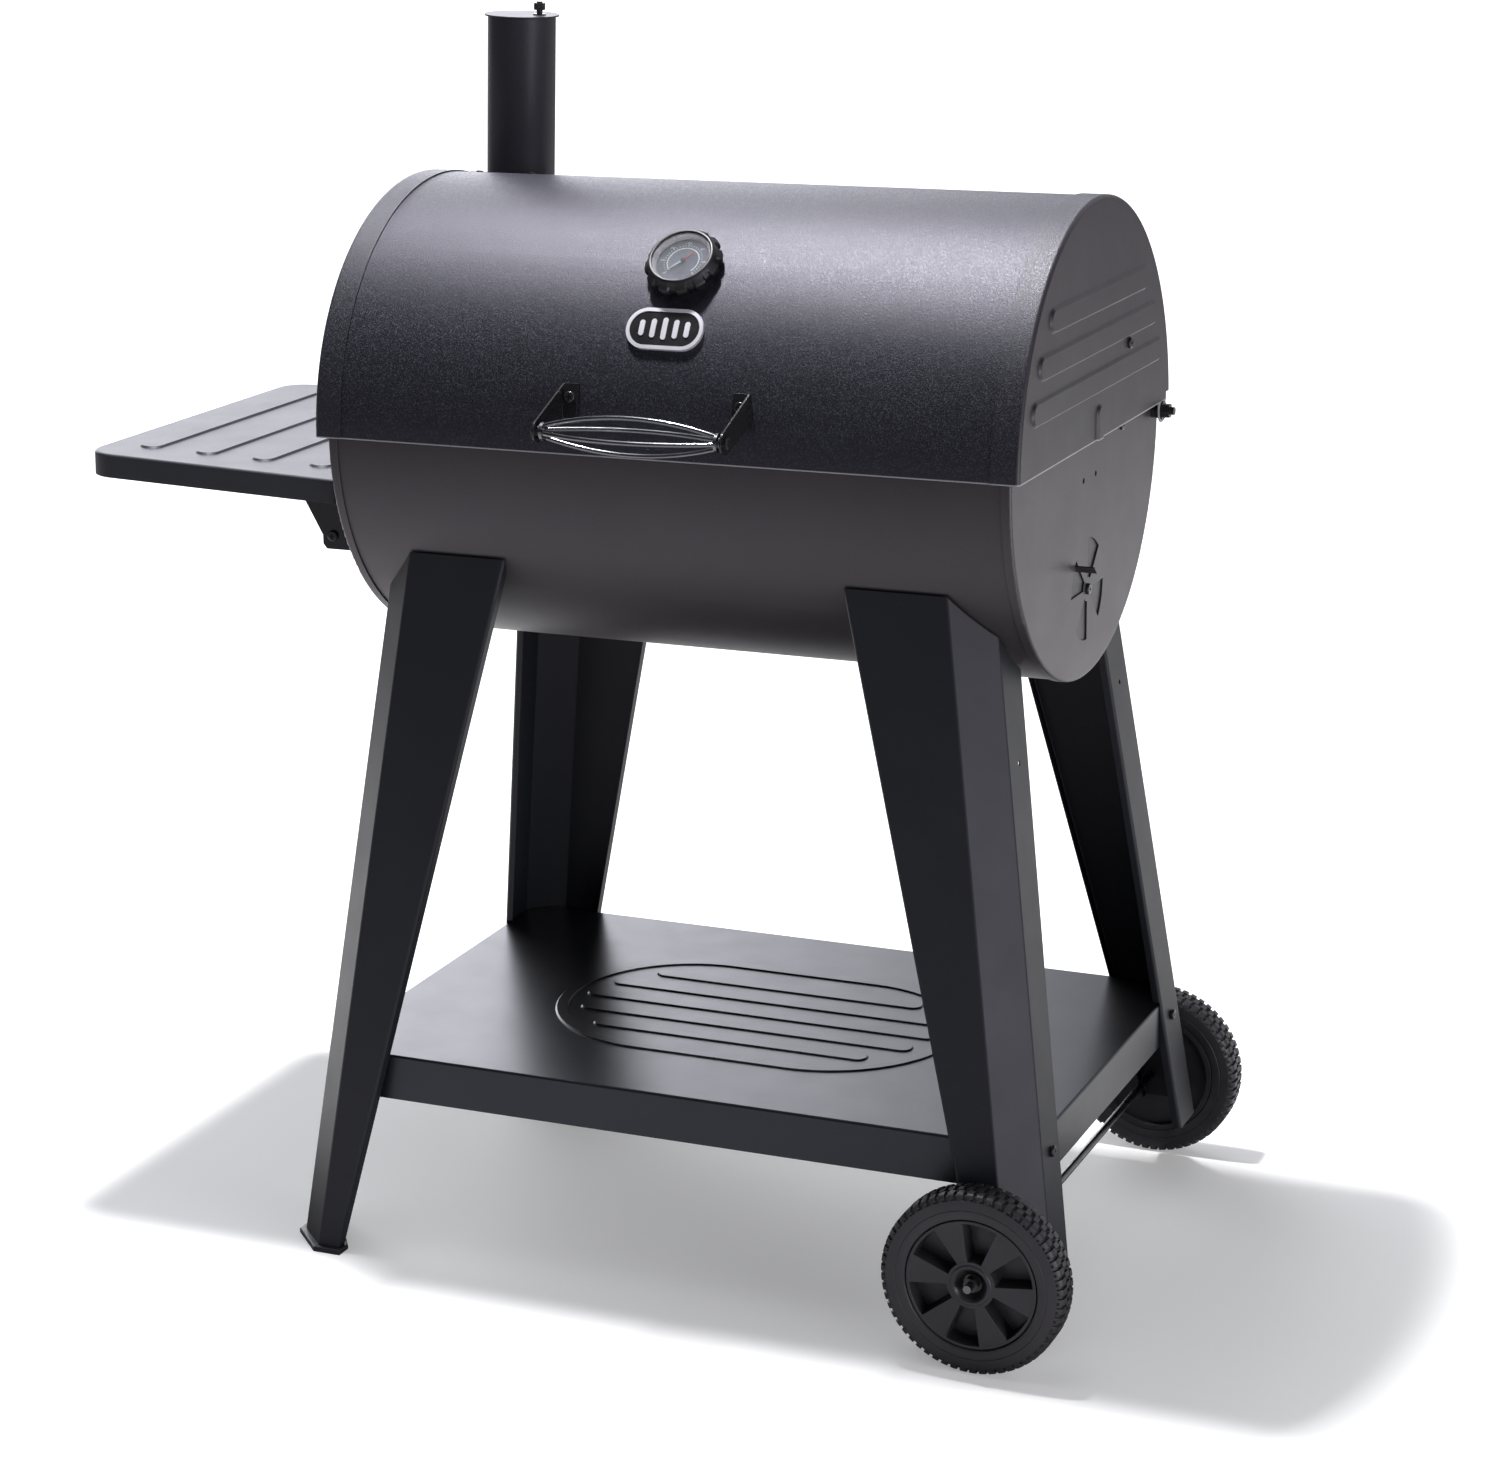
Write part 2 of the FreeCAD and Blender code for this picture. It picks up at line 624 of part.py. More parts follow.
def handle_bracket():
    """Right bracket: a tab that follows the lid and an arm that stands out from it."""
    x0, x1 = ARM_X, ARM_X + ARM_T
    eye = Vector(x0, HANDLE_Y, HANDLE_Z)
    top = Vector(x0, -math.sqrt(LID_SHELL_R ** 2 - TAB_Z[1] ** 2) + 4, TAB_Z[1])
    low = Vector(x0, -math.sqrt(LID_SHELL_R ** 2 - TAB_Z[0] ** 2) + 4, TAB_Z[0])
    top_out = top - Vector(0, 5, 0)
    low_out = low - Vector(0, 5, 0)
    outline = [
        top,
        top_out,
        tangent_point(top_out, eye, HANDLE_EYE_R, 1),
        tangent_point(low_out, eye, HANDLE_EYE_R, -1),
        low_out,
        low,
    ]
    arm = fused([prism(outline, X_AXIS * ARM_T), rod_x(HANDLE_EYE_R, x0, x1, HANDLE_Y, HANDLE_Z)])
    arm = arm.cut(rod_x(LID_SHELL_R + FIT, -FAR, FAR))
    tab = ring_x(LID_SHELL_R + FIT + ARM_T, LID_SHELL_R + FIT, x1 - ARM_TAB, x1)
    tab = tab.common(box(0, -FAR, TAB_Z[0], FAR, 0, TAB_Z[1]))
    bracket = fused([arm, tab])
    bracket = bracket.cut(rod_x(3.0 + HOLE_PLAY, 0, FAR, HANDLE_Y, HANDLE_Z))
    return drilled(bracket, handle_bolts())


def handle_collar():
    """Right end of the wire grip: the disc the wires are welded to, with a boss up to the bracket."""
    disc = rod_x(9, WIRE_HALF, WIRE_HALF + 3, HANDLE_Y, HANDLE_Z)
    boss = rod_x(6, WIRE_HALF + 3, ARM_X - FIT, HANDLE_Y, HANDLE_Z)
    return disc.fuse(boss).cut(rod_x(3.0 + THREAD_PLAY, 0, FAR, HANDLE_Y, HANDLE_Z))


def handle_wires():
    """Bowed wires around the grip's axis, each an arc from one collar to the other."""
    wires = []
    for i in range(WIRE_COUNT):
        turn = math.radians(WIRE_PHASE + 360.0 / WIRE_COUNT * i)
        out = Vector(0, math.cos(turn), math.sin(turn))
        axis = Vector(0, HANDLE_Y, HANDLE_Z)
        start = axis + out * WIRE_END - X_AXIS * (WIRE_HALF + 1)
        end = axis + out * WIRE_END + X_AXIS * (WIRE_HALF + 1)
        path = Part.Arc(start, axis + out * WIRE_BOW, end)
        tangent = path.tangent(path.FirstParameter)[0]
        profile = Part.Wire(Part.Circle(start, tangent, WIRE_R).toShape())
        wire = Part.Wire(path.toShape()).makePipeShell([profile], True, True)
        wires.append(wire.common(rod_x(40, -WIRE_HALF, WIRE_HALF, HANDLE_Y, HANDLE_Z)))
    return Part.makeCompound(wires)


def handle_end_bolt():
    """Right bolt through the bracket's eye into the collar."""
    x1 = ARM_X + ARM_T
    head = hexagon(10, Vector(x1 + FIT, HANDLE_Y, HANDLE_Z), Vector(x1 + 4, HANDLE_Y, HANDLE_Z))
    return head.fuse(rod_x(3.0, WIRE_HALF + 0.5, x1 + FIT, HANDLE_Y, HANDLE_Z))


# ---- Thermometer and badge -------------------------------------------------------------------------------
def gauge_point(height):
    """A point on the thermometer's axis, at a height above the lid."""
    return radial(LID_SHELL_R + height, GAUGE_ANGLE, GAUGE_X)


def gauge_rod(r, low, high):
    return rod(r, gauge_point(low), gauge_point(high))


def gauge_case():
    cup = gauge_rod(GAUGE_CASE_R, 0.8, 15.9).cut(gauge_rod(GAUGE_BORE_R, 5.0, 16.0))
    return cup.cut(gauge_rod(GAUGE_PROBE_R + FIT, 0, 6))


def gauge_bezel():
    """A ring with sloping shoulders and grip notches round its edge."""
    out = radial(1, GAUGE_ANGLE)
    profile = [(GAUGE_CASE_R + FIT, 2.2), (GAUGE_BEZEL_R - 1, 3.4), (GAUGE_BEZEL_R, 5.0), (GAUGE_BEZEL_R, 10.5),
               (32.0, 18.6), (GAUGE_LENS_R, 18.6), (GAUGE_LENS_R, 17.6), (GAUGE_CASE_R + FIT, 17.6)]
    points = [gauge_point(height) + X_AXIS * r for r, height in profile]
    ring = Part.Face(Part.makePolygon(points + [points[0]])).revolve(gauge_point(0), out, 360)
    side = out.cross(X_AXIS)
    notches = []
    for i in range(GAUGE_NOTCHES):
        turn = math.radians(360.0 / GAUGE_NOTCHES * i)
        offset = (X_AXIS * math.cos(turn) + side * math.sin(turn)) * (GAUGE_BEZEL_R + 2.0)
        notches.append(rod(GAUGE_NOTCH_R, gauge_point(0) + offset, gauge_point(20) + offset))
    return ring.cut(notches)


def gauge_dial():
    return gauge_rod(GAUGE_BORE_R - 0.3, GAUGE_DIAL, GAUGE_DIAL + 0.6).cut(gauge_rod(1.0 + PIVOT_PLAY, 0, 20))


def gauge_needle():
    """A balanced pointer on a pin: its long arm points down to the left, at the cold end of the dial."""
    out = radial(1, GAUGE_ANGLE)
    side = X_AXIS * -1
    down = out.cross(X_AXIS)
    along = unit(side + down)
    across = out.cross(along)
    height = GAUGE_DIAL + 2.2
    centre = gauge_point(height)
    outline = [
        centre + along * 21.0,
        centre + along * 2.0 + across * 1.6,
        centre - along * 8.0 + across * 2.6,
        centre - along * 8.0 - across * 2.6,
        centre + along * 2.0 - across * 1.6,
    ]
    hub = gauge_rod(2.6, height - 0.4, height + 1.4)
    pin = gauge_rod(1.0, GAUGE_DIAL - 1.5, height)
    return fused([prism(outline, out * 0.6), hub, pin])


def gauge_stem():
    """The probe, with a threaded collar through the lid and a nut inside it."""
    probe = gauge_rod(GAUGE_PROBE_R, -48, 4.9)
    collar = gauge_rod(GAUGE_COLLAR_R, -9, 0.7)
    return probe.fuse(collar)


def gauge_nut():
    low = -SHEET - 0.3
    nut = hexagon(17, gauge_point(low - 5), gauge_point(low))
    return nut.cut(gauge_rod(GAUGE_COLLAR_R + THREAD_PLAY, -20, 5))


def badge_slab(half_len, half_width, r_in, r_out, x=0.0, across=False):
    """A pill-shaped piece of the ring between two radii, seen square on at the badge's angle."""
    out = radial(1, BADGE_ANGLE)
    up = out.cross(X_AXIS) * -1
    long_dir = up if across else X_AXIS
    outline = stadium(radial(LID_R - 12, BADGE_ANGLE, x), out, long_dir, half_len, half_width)
    return Part.Face(outline).extrude(out * 30).common(ring_x(r_out, r_in, -100, 100))


def badge_bars(r_in, r_out, grow):
    """Five upright bars, like the bars of a grate, shorter towards the ends."""
    bars = []
    for i in range(-2, 3):
        half = BADGE_BAR_HALF - BADGE_BAR_STEP * abs(i) + grow
        bars.append(badge_slab(half, 2.6 + grow, r_in, r_out, BADGE_BAR_PITCH * i, True))
    return bars


def badge_plate():
    base = LID_SHELL_R + FIT
    plate = badge_slab(BADGE_HALF, BADGE_HALF_H, base, base + BADGE_T)
    field = badge_slab(BADGE_HALF - 3.6, BADGE_HALF_H - 3.6, base + BADGE_FLOOR, base + 5)
    return fused([plate.cut(field)] + badge_bars(base + BADGE_FLOOR - 0.2, base + BADGE_T, 0))


def badge_inlay():
    base = LID_SHELL_R + FIT
    low = base + BADGE_FLOOR + FIT
    field = badge_slab(BADGE_HALF - 3.7, BADGE_HALF_H - 3.7, low, low + 0.55)
    return field.cut(badge_bars(base + 1, base + 5, FIT))


# ---- Chimney ---------------------------------------------------------------------------------------------
def chimney_lean(shape):
    return tilted(shape, CHIMNEY_FOOT, CHIMNEY_LEAN)


def chimney_rod(r, z0, z1):
    """A round bar on the leaning chimney's axis."""
    return chimney_lean(rod_z(r, z0, z1, CHIMNEY_X, CHIMNEY_Y))


def chimney_pipe():
    """A tube whose foot follows the lid."""
    pipe = chimney_rod(CHIMNEY_R, 100, CHIMNEY_TOP)
    pipe = pipe.cut(chimney_rod(CHIMNEY_R - CHIMNEY_T, 90, CHIMNEY_TOP + 10))
    return pipe.cut(rod_x(LID_SHELL_R + FIT, -FAR, FAR))


def chimney_flange():
    """A saddle plate round the foot of the pipe."""
    dx, dy = CHIMNEY_FLANGE
    plate = ring_x(LID_SHELL_R + FIT + CHIMNEY_T, LID_SHELL_R + FIT, CHIMNEY_X - dx, CHIMNEY_X + dx)
    plate = plate.common(box(-FAR, CHIMNEY_Y - dy, 0, FAR, CHIMNEY_Y + dy, FAR))
    plate = plate.cut(chimney_rod(CHIMNEY_R + FIT, 90, FAR))
    return drilled(plate, chimney_bolts())


def damper_rod(r, z0, z1):
    """A round bar on the damper's pivot, before the chimney leans."""
    return rod_z(r, z0, z1, CHIMNEY_X + DAMPER_OFFSET, CHIMNEY_Y)


def chimney_bridge():
    """The strip across the pipe, just under its top, that carries the damper's bolt."""
    top = CHIMNEY_TOP - 6
    strip = box(CHIMNEY_X - 50, CHIMNEY_Y - 6, top - 2, CHIMNEY_X + 50, CHIMNEY_Y + 6, top)
    strip = strip.common(rod_z(CHIMNEY_R - CHIMNEY_T - FIT, 0, FAR, CHIMNEY_X, CHIMNEY_Y))
    return chimney_lean(strip.cut(damper_rod(DAMPER_BOLT_R + FIT, 0, FAR)))


def chimney_damper():
    """The flat cap that swings round its bolt to open the chimney."""
    low = CHIMNEY_TOP + 0.3
    plate = rod_z(DAMPER_R, low, low + 1.5, CHIMNEY_X, CHIMNEY_Y)
    return chimney_lean(plate.cut(damper_rod(DAMPER_BOLT_R + PIVOT_PLAY, 0, FAR)))


def damper_bolt():
    """The damper's pivot: head under the bridge, with a washer and a lock nut above the cap."""
    x, y = CHIMNEY_X + DAMPER_OFFSET, CHIMNEY_Y
    under = CHIMNEY_TOP - 8 - FIT
    head = hexagon(10, Vector(x, y, under - 4), Vector(x, y, under))
    bolt = head.fuse(damper_rod(DAMPER_BOLT_R, under, CHIMNEY_TOP + 15.5))
    washer = damper_rod(6.5, CHIMNEY_TOP + 2.0, CHIMNEY_TOP + 3.2)
    nut = hexagon(10, Vector(x, y, CHIMNEY_TOP + 7), Vector(x, y, CHIMNEY_TOP + 14))
    bore = damper_rod(DAMPER_BOLT_R + THREAD_PLAY, 0, FAR)
    return chimney_lean(Part.makeCompound([bolt, washer.cut(bore), nut.cut(bore)]))


# ---- Firebox vent ----------------------------------------------------------------------------------------
def vent_damper():
    """A four-bladed plate inside the firebox end, with a tab bent out through one opening."""
    x1 = BODY_HALF - SHEET - 0.4
    x0 = x1 - SHEET
    blades = [rod_x(VENT_IN + 4, x0, x1, 0, VENT_Z)]
    for i in range(VENT_COUNT):
        middle = VENT_PHASE + 360.0 / VENT_COUNT * i
        half = VENT_HALF_ANGLE + 1.5
        blades.append(sector(x0, x1, VENT_Z, 2.0, VENT_OUT + 4, middle - half, middle + half))
    turn = math.radians(VENT_TAB_ANGLE)
    out = Vector(0, math.cos(turn), math.sin(turn))
    across = Vector(0, -math.sin(turn), math.cos(turn)) * (SHEET / 2)
    foot = Vector(x0, 0, VENT_Z)
    near = foot + out * 35
    far = foot + out * 46
    tab = prism([near + across, far + across, far - across, near - across], X_AXIS * 21)
    plate = fused(blades + [tab])
    return plate.cut(rod_x(3.0 + PIVOT_PLAY, 0, FAR, 0, VENT_Z))


def vent_bolt():
    """The vent's pivot: a round head outside and a nut behind the plate."""
    bolt = Bolt(Vector(BODY_HALF + FIT, 0, VENT_Z), X_AXIS * -1, 2 * SHEET + 0.8)
    return bolt_group([bolt])


# ---- Grates ----------------------------------------------------------------------------------------------
def wire_grate(x0, x1, half_y, z, pitch, wire):
    """Cross wires welded on two long bars."""
    bar_y = half_y - GRATE_FRAME - 1
    bar_z = z + GRATE_FRAME
    solids = [rod_x(GRATE_FRAME, x0, x1, s * bar_y, bar_z) for s in (-1, 1)]
    count = int((x1 - x0 - 2 * GRATE_FRAME) / pitch)
    first = (x0 + x1 - count * pitch) / 2
    wire_z = bar_z + GRATE_FRAME + wire
    for i in range(count + 1):
        solids.append(rod_y(wire, -half_y, half_y, first + i * pitch, wire_z))
    return Part.makeCompound(solids)


def grate_rail():
    """Front ledge for the cooking grates, an angle strip against the shell."""
    top = GRATE_Z - FIT
    outer = math.sqrt((SHELL_R - SHEET) ** 2 - (top - SHEET - 10) ** 2) - 0.5
    ledge = box(-BODY_HALF + 6, -outer, top - SHEET, BODY_HALF - 6, 13 - outer, top)
    web = box(-BODY_HALF + 6, -outer, top - SHEET - 10, BODY_HALF - 6, SHEET - outer, top)
    return ledge.fuse(web)


def coal_rail():
    """Front ledge for the charcoal grate."""
    top = COAL_Z - FIT
    outer = math.sqrt((SHELL_R - SHEET) ** 2 - (top - SHEET) ** 2) - 0.5
    ledge = box(-BODY_HALF + 6, -outer, top - SHEET, BODY_HALF - 6, 14 - outer, top)
    web = box(-BODY_HALF + 6, -outer, top - SHEET, BODY_HALF - 6, SHEET - outer, top + 9)
    return ledge.fuse(web)


# ---- Legs and feet ---------------------------------------------------------------------------------------
def leg_value(pair, z):
    """A leg dimension at a height: it runs straight from its reference value to its value at the floor."""
    share = (LEG_REF_Z - z) / (LEG_REF_Z - FLOOR_Z)
    return pair[0] + (pair[1] - pair[0]) * share


def leg_path(z):
    """The folded sheet's outside line at one height, for the front right leg."""
    inner = leg_value(LEG_INNER, z)
    fold = leg_value(LEG_FOLD, z)
    front = leg_value(LEG_FRONT, z)
    side_end = leg_value(LEG_SIDE_END, z)
    side = fold + LEG_CHAMFER
    return [
        Vector(inner, LEG_FLANGE - front, z),
        Vector(inner, -front, z),
        Vector(fold, -front, z),
        Vector(side, LEG_CHAMFER - front, z),
        Vector(side, -side_end, z),
        Vector(side - LEG_SIDE_FLANGE, -side_end, z),
    ]


def offset_path(path, distance):
    """The same line moved to its left, with mitred corners."""
    moved = []
    for i, p in enumerate(path):
        normals = []
        for a, b in ((i - 1, i), (i, i + 1)):
            if a >= 0 and b < len(path):
                along = unit(path[b] - path[a])
                normals.append(Vector(-along.y, along.x, 0))
        mitre = unit(normals[0] + normals[-1])
        moved.append(p + mitre * (distance / mitre.dot(normals[0])))
    return moved


def leg_ring(z):
    path = leg_path(z)
    loop = path + offset_path(path, LEG_T)[::-1]
    return Part.makePolygon(loop + [loop[0]])


def fold_edges(sheet, offset, z):
    """The long edges along the leg's four folds, on its outside (offset 0) or its inside."""
    folds = [Part.Vertex(p) for p in offset_path(leg_path(z), offset)[1:5]]
    return [e for e in sheet.Edges if any(e.distToShape(v)[0] < 0.05 for v in folds)]


def leg(bottom_z):
    """Front right leg, cut at the top to the barrel's curve and notched round the bottom shelf."""
    sheet = Part.makeLoft([leg_ring(LEG_TOP_Z), leg_ring(bottom_z)], True, True)
    for offset in (0, LEG_T):
        sheet = sheet.makeFillet(LEG_BEND - offset, fold_edges(sheet, offset, (LEG_TOP_Z + bottom_z) / 2))
    sheet = sheet.cut(rod_x(BODY_R + LEG_BARREL_GAP, 0, FAR))
    middle = (leg_value(LEG_SIDE_END, LEG_HOLE_Z) + leg_value(LEG_FRONT, LEG_HOLE_Z) - LEG_CHAMFER) / 2
    sheet = sheet.cut(rod_x(2.6, 250, FAR, -middle, LEG_HOLE_Z))
    sheet = sheet.cut(cut_corner_prism(-0.3, SHELF_Z - SHELF_APRON - 1, SHELF_Z + LEG_NOTCH))
    return drilled(sheet, shelf_bolts())


def wheel_leg():
    return leg(WHEEL_LEG_BOTTOM_Z).cut(rod_y(AXLE_R + HOLE_PLAY, -400, 400, AXLE_X, AXLE_Z))


def foot_leg():
    return leg(FLOOR_Z + FOOT_T + FIT)


def foot():
    """Front right foot: a glide plate a little larger than the leg, with a plug inside it."""
    path = leg_path(FLOOR_Z)
    plate = fillet_top(prism(offset_path(path, -FOOT_LIP), Z_AXIS * FOOT_T), FOOT_ROUND)
    plug_inset = LEG_BEND + FOOT_PLUG_PLAY
    low = offset_path(leg_path(FLOOR_Z + FOOT_T), plug_inset)
    high = offset_path(leg_path(FLOOR_Z + FOOT_T + FOOT_PLUG), plug_inset)
    loops = [Part.makePolygon(p + [p[0]]) for p in (low, high)]
    return plate.fuse(Part.makeLoft(loops, True, True))


def leg_bracket():
    """Front right bracket: a saddle under the barrel and a tab down the back of the leg's front face."""
    x0, x1 = LEG_BRACKET_X
    y0, y1 = LEG_BRACKET_SADDLE_Y
    saddle_r = BODY_R + FIT
    saddle = ring_x(saddle_r + LEG_BRACKET_T, saddle_r, x0, x1)
    saddle = saddle.common(box(0, -y1, -FAR, FAR, -y0, 0))

    def behind_leg(z):
        return Vector(x0, LEG_T + LEG_BRACKET_PLAY - leg_value(LEG_FRONT, z), z)
    tab = [behind_leg(LEG_BRACKET_TOP_Z), behind_leg(LEG_BRACKET_BOTTOM_Z)]
    tab += [tab[1] + Y_AXIS * LEG_BRACKET_T, tab[0] + Y_AXIS * LEG_BRACKET_T]
    plate = prism(tab, X_AXIS * (x1 - x0)).cut(rod_x(saddle_r, 0, FAR))
    heel_y = behind_leg(LEG_BRACKET_HEEL_Z).y
    heel = box(x0, heel_y, LEG_BRACKET_HEEL_Z - LEG_BRACKET_T, x1, -185, LEG_BRACKET_HEEL_Z)
    heel = heel.cut(rod_x(saddle_r, 0, FAR))
    return drilled(fused([saddle, plate, heel]), leg_bolts())


# ---- Shelves ---------------------------------------------------------------------------------------------
def cut_corner_prism(inset, z0, z1):
    """The bottom shelf's outline with its corners cut off to clear the legs, inset by a sheet."""
    x = SHELF_HALF_X - inset
    y = SHELF_HALF_Y - inset
    c = SHELF_CORNER - inset * (2 - math.sqrt(2))
    points = [(x - c, -y), (x, c - y), (x, y - c), (x - c, y), (c - x, y), (-x, y - c), (-x, c - y), (c - x, -y)]
    return prism([Vector(px, py, z0) for px, py in points], Z_AXIS * (z1 - z0))


def bottom_shelf():
    """A tray turned upside down, with a pressed oval ring round a field of long bars."""
    low = SHELF_Z - SHELF_APRON
    tray = fillet_top(cut_corner_prism(0, low, SHELF_Z), 2.5)
    tray = tray.cut(fillet_top(cut_corner_prism(SHEET, low - 1, SHELF_Z - SHEET), 1.3))
    centre = Vector(0, 0, SHELF_Z)
    raised = pad(centre, Z_AXIS, X_AXIS, EMBOSS_HALF_X, EMBOSS_HALF_Y, EMBOSS_RISE, EMBOSS_RISE)
    well = Part.Face(stadium(
        centre, Z_AXIS, X_AXIS, EMBOSS_HALF_X - EMBOSS_RING, EMBOSS_HALF_Y - EMBOSS_RING)).extrude(Z_AXIS * 5)
    features = [raised.cut(well)]
    field_r = EMBOSS_HALF_Y - EMBOSS_RING - 10
    for i in range(-2, 3):
        y = EMBOSS_BAR_PITCH * i
        bow = math.sqrt(field_r ** 2 - (abs(y) + EMBOSS_BAR_HALF) ** 2)
        half = EMBOSS_HALF_X - EMBOSS_HALF_Y + bow
        features.append(pad(centre + Y_AXIS * y, Z_AXIS, X_AXIS, half, EMBOSS_BAR_HALF, EMBOSS_RISE, EMBOSS_RISE))
    return drilled(fused([tray] + features), shelf_bolts())


def shelf_tilt(shape):
    """The side shelf's slight rise, about its edge beside the firebox."""
    return tilted(shape, Vector(SIDE_X1, 0, SIDE_Z), SIDE_TILT)


def side_shelf():
    """A rounded tray with ribs pressed up across it."""
    low = SIDE_Z - SIDE_APRON
    tray = fillet_top(rounded_prism(SIDE_X0, SIDE_X1, SIDE_HALF_Y, low, SIDE_Z, SIDE_CORNER, 6.0), 3.0)
    t = SHEET
    inside = rounded_prism(
        SIDE_X0 + t, SIDE_X1 - t, SIDE_HALF_Y - t, low - 1, SIDE_Z - t, SIDE_CORNER - t, 6.0 - t)
    tray = tray.cut(fillet_top(inside, 1.8))
    ribs = []
    for i in range(4):
        x = (SIDE_X0 + SIDE_X1) / 2 + (i - 1.5) * SIDE_RIB_PITCH
        ribs.append(pressed_rib(
            Vector(x, 0, SIDE_Z), Z_AXIS, Y_AXIS, SIDE_RIB_LENGTH, SIDE_RIB_HALF, SIDE_RIB_RISE))
    return shelf_tilt(tray.multiFuse([r[0] for r in ribs]).cut([r[1] for r in ribs]))


def gusset():
    """Front shelf support: a tapered web with a flange that follows the shelf's underside."""
    y = -GUSSET_Y
    x1 = -BODY_HALF - 1
    shelf_end = SIDE_X1 - SHEET - 3.2
    under = SIDE_Z - SIDE_APRON - FIT

    def top(x, drop=0.0):
        rise = (SIDE_X1 - x) * math.tan(SIDE_TURN)
        return Vector(x, y, SIDE_Z + rise - (SHEET + FIT + drop) / math.cos(SIDE_TURN))
    outline = [
        Vector(x1, y, GUSSET_BOTTOM_Z),
        Vector(-402, y, GUSSET_BOTTOM_Z),
        Vector(-406, y, GUSSET_BOTTOM_Z + 5),
        Vector(-406, y, GUSSET_BOTTOM_Z + 14),
        top(GUSSET_OUTER_X),
        top(shelf_end),
        Vector(shelf_end, y, under),
        Vector(x1, y, under),
    ]
    web = prism(outline, Y_AXIS * LEG_T)
    flange = [top(GUSSET_OUTER_X), top(shelf_end), top(shelf_end, LEG_T), top(GUSSET_OUTER_X, LEG_T)]
    shelf_flange = prism(flange, Y_AXIS * GUSSET_FLANGE)
    return drilled(fused([web, shelf_flange]), gusset_bolts())


def wall_bracket():
    """Front angle bracket between the firebox's left end and the gusset."""
    y = -GUSSET_Y + LEG_T + FIT
    x1 = -BODY_HALF - FIT
    top = SIDE_Z - SHEET - LEG_T - 2
    outline = [
        Vector(x1, y, -125),
        Vector(-402, y, -125),
        Vector(-402, y, -104),
        Vector(-382, y, -84),
        Vector(-382, y, top),
        Vector(x1, y, top),
    ]
    web = prism(outline, Y_AXIS * LEG_T)
    foot_plate = box(x1 - LEG_T, y, -125, x1, y + GUSSET_FLANGE, top)
    bracket = fused([web, foot_plate])
    tray_wall = box(SIDE_X1 - 3, -GUSSET_Y, SIDE_Z - SIDE_APRON - 1, SIDE_X1 + 1, 0, SIDE_Z)
    return drilled(bracket.cut(tray_wall), side_shelf_wall_bolts() + gusset_bolts())


# ---- Wheels ----------------------------------------------------------------------------------------------
def wheel_rod(r, depth0, depth1):
    """A disc on the front wheel's axis, with depths counted from its outer face."""
    return rod_y(r, depth0 - WHEEL_OUTER, depth1 - WHEEL_OUTER, AXLE_X, AXLE_Z)


def window(depth, r_in, half_in, r_out, half_out, degrees):
    """A wedge-shaped pocket in the wheel's face."""
    turn = math.radians(degrees)
    out = Vector(math.cos(turn), 0, math.sin(turn))
    across = Vector(-math.sin(turn), 0, math.cos(turn))
    centre = Vector(AXLE_X, -1 - WHEEL_OUTER, AXLE_Z)
    arc_mid = centre + out * r_out
    edge = math.sqrt(r_out ** 2 - half_out ** 2)
    a = centre + out * r_in - across * half_in
    b = centre + out * edge - across * half_out
    c = centre + out * edge + across * half_out
    d = centre + out * r_in + across * half_in
    outline = Part.Wire([
        Part.makeLine(a, b),
        Part.Arc(b, arc_mid, c).toShape(),
        Part.makeLine(c, d),
        Part.makeLine(d, a),
    ])
    return Part.Face(outline).extrude(Y_AXIS * (depth + 1))


def wheel_rim():
    """Front wheel's moulded rim: a deep disc with six pockets and a dished hub."""
    width = WHEEL_OUTER - WHEEL_INNER
    rim = wheel_rod(RIM_R, 1.0, width)
    pockets = [window(WINDOW_DEPTH, 26.0, 5.5, 61.5, 17.0, WINDOW_PHASE + 360.0 / WINDOW_COUNT * i)
               for i in range(WINDOW_COUNT)]
    dish_r = (HUB_DISH_R ** 2 + HUB_RECESS ** 2) / (2 * HUB_RECESS)
    dish = Part.makeSphere(dish_r, Vector(AXLE_X, 1 + HUB_RECESS - dish_r - WHEEL_OUTER, AXLE_Z))
    rim = rim.cut(pockets + [dish, wheel_rod(10.0, -1, HUB_RECESS)])
    back = wheel_rod(60.0, WINDOW_DEPTH + 2.5, width + 1).cut(wheel_rod(15.0, 0, width + 2))
    return rim.cut([back, wheel_rod(AXLE_R + PIVOT_PLAY, -5, width + 5)])


def wheel_tyre():
    """Front wheel's tyre, a plain ring with rounded shoulders."""
    width = WHEEL_OUTER - WHEEL_INNER
    tyre = wheel_rod(TYRE_R, 0, width)
    tyre = tyre.makeFillet(4.0, [e for e in tyre.Edges if e.Length > 6 * TYRE_R])
    return tyre.cut(wheel_rod(RIM_R + FIT, -1, width + 1))


def axle_fittings():
    """Front end of the axle: an inner washer, an outer washer and a nut."""
    recess = WHEEL_OUTER - HUB_RECESS
    nut_y = recess + 1.8
    pieces = [
        rod_y(9, -WHEEL_INNER + 0.2, -WHEEL_INNER + 1.8, AXLE_X, AXLE_Z),
        rod_y(9, -recess - 1.7, -recess - 0.2, AXLE_X, AXLE_Z),
        hexagon(13, Vector(AXLE_X, -nut_y, AXLE_Z), Vector(AXLE_X, -nut_y - 6.5, AXLE_Z)),
    ]
    return [p.cut(rod_y(AXLE_R + THREAD_PLAY, -400, 0, AXLE_X, AXLE_Z)) for p in pieces]


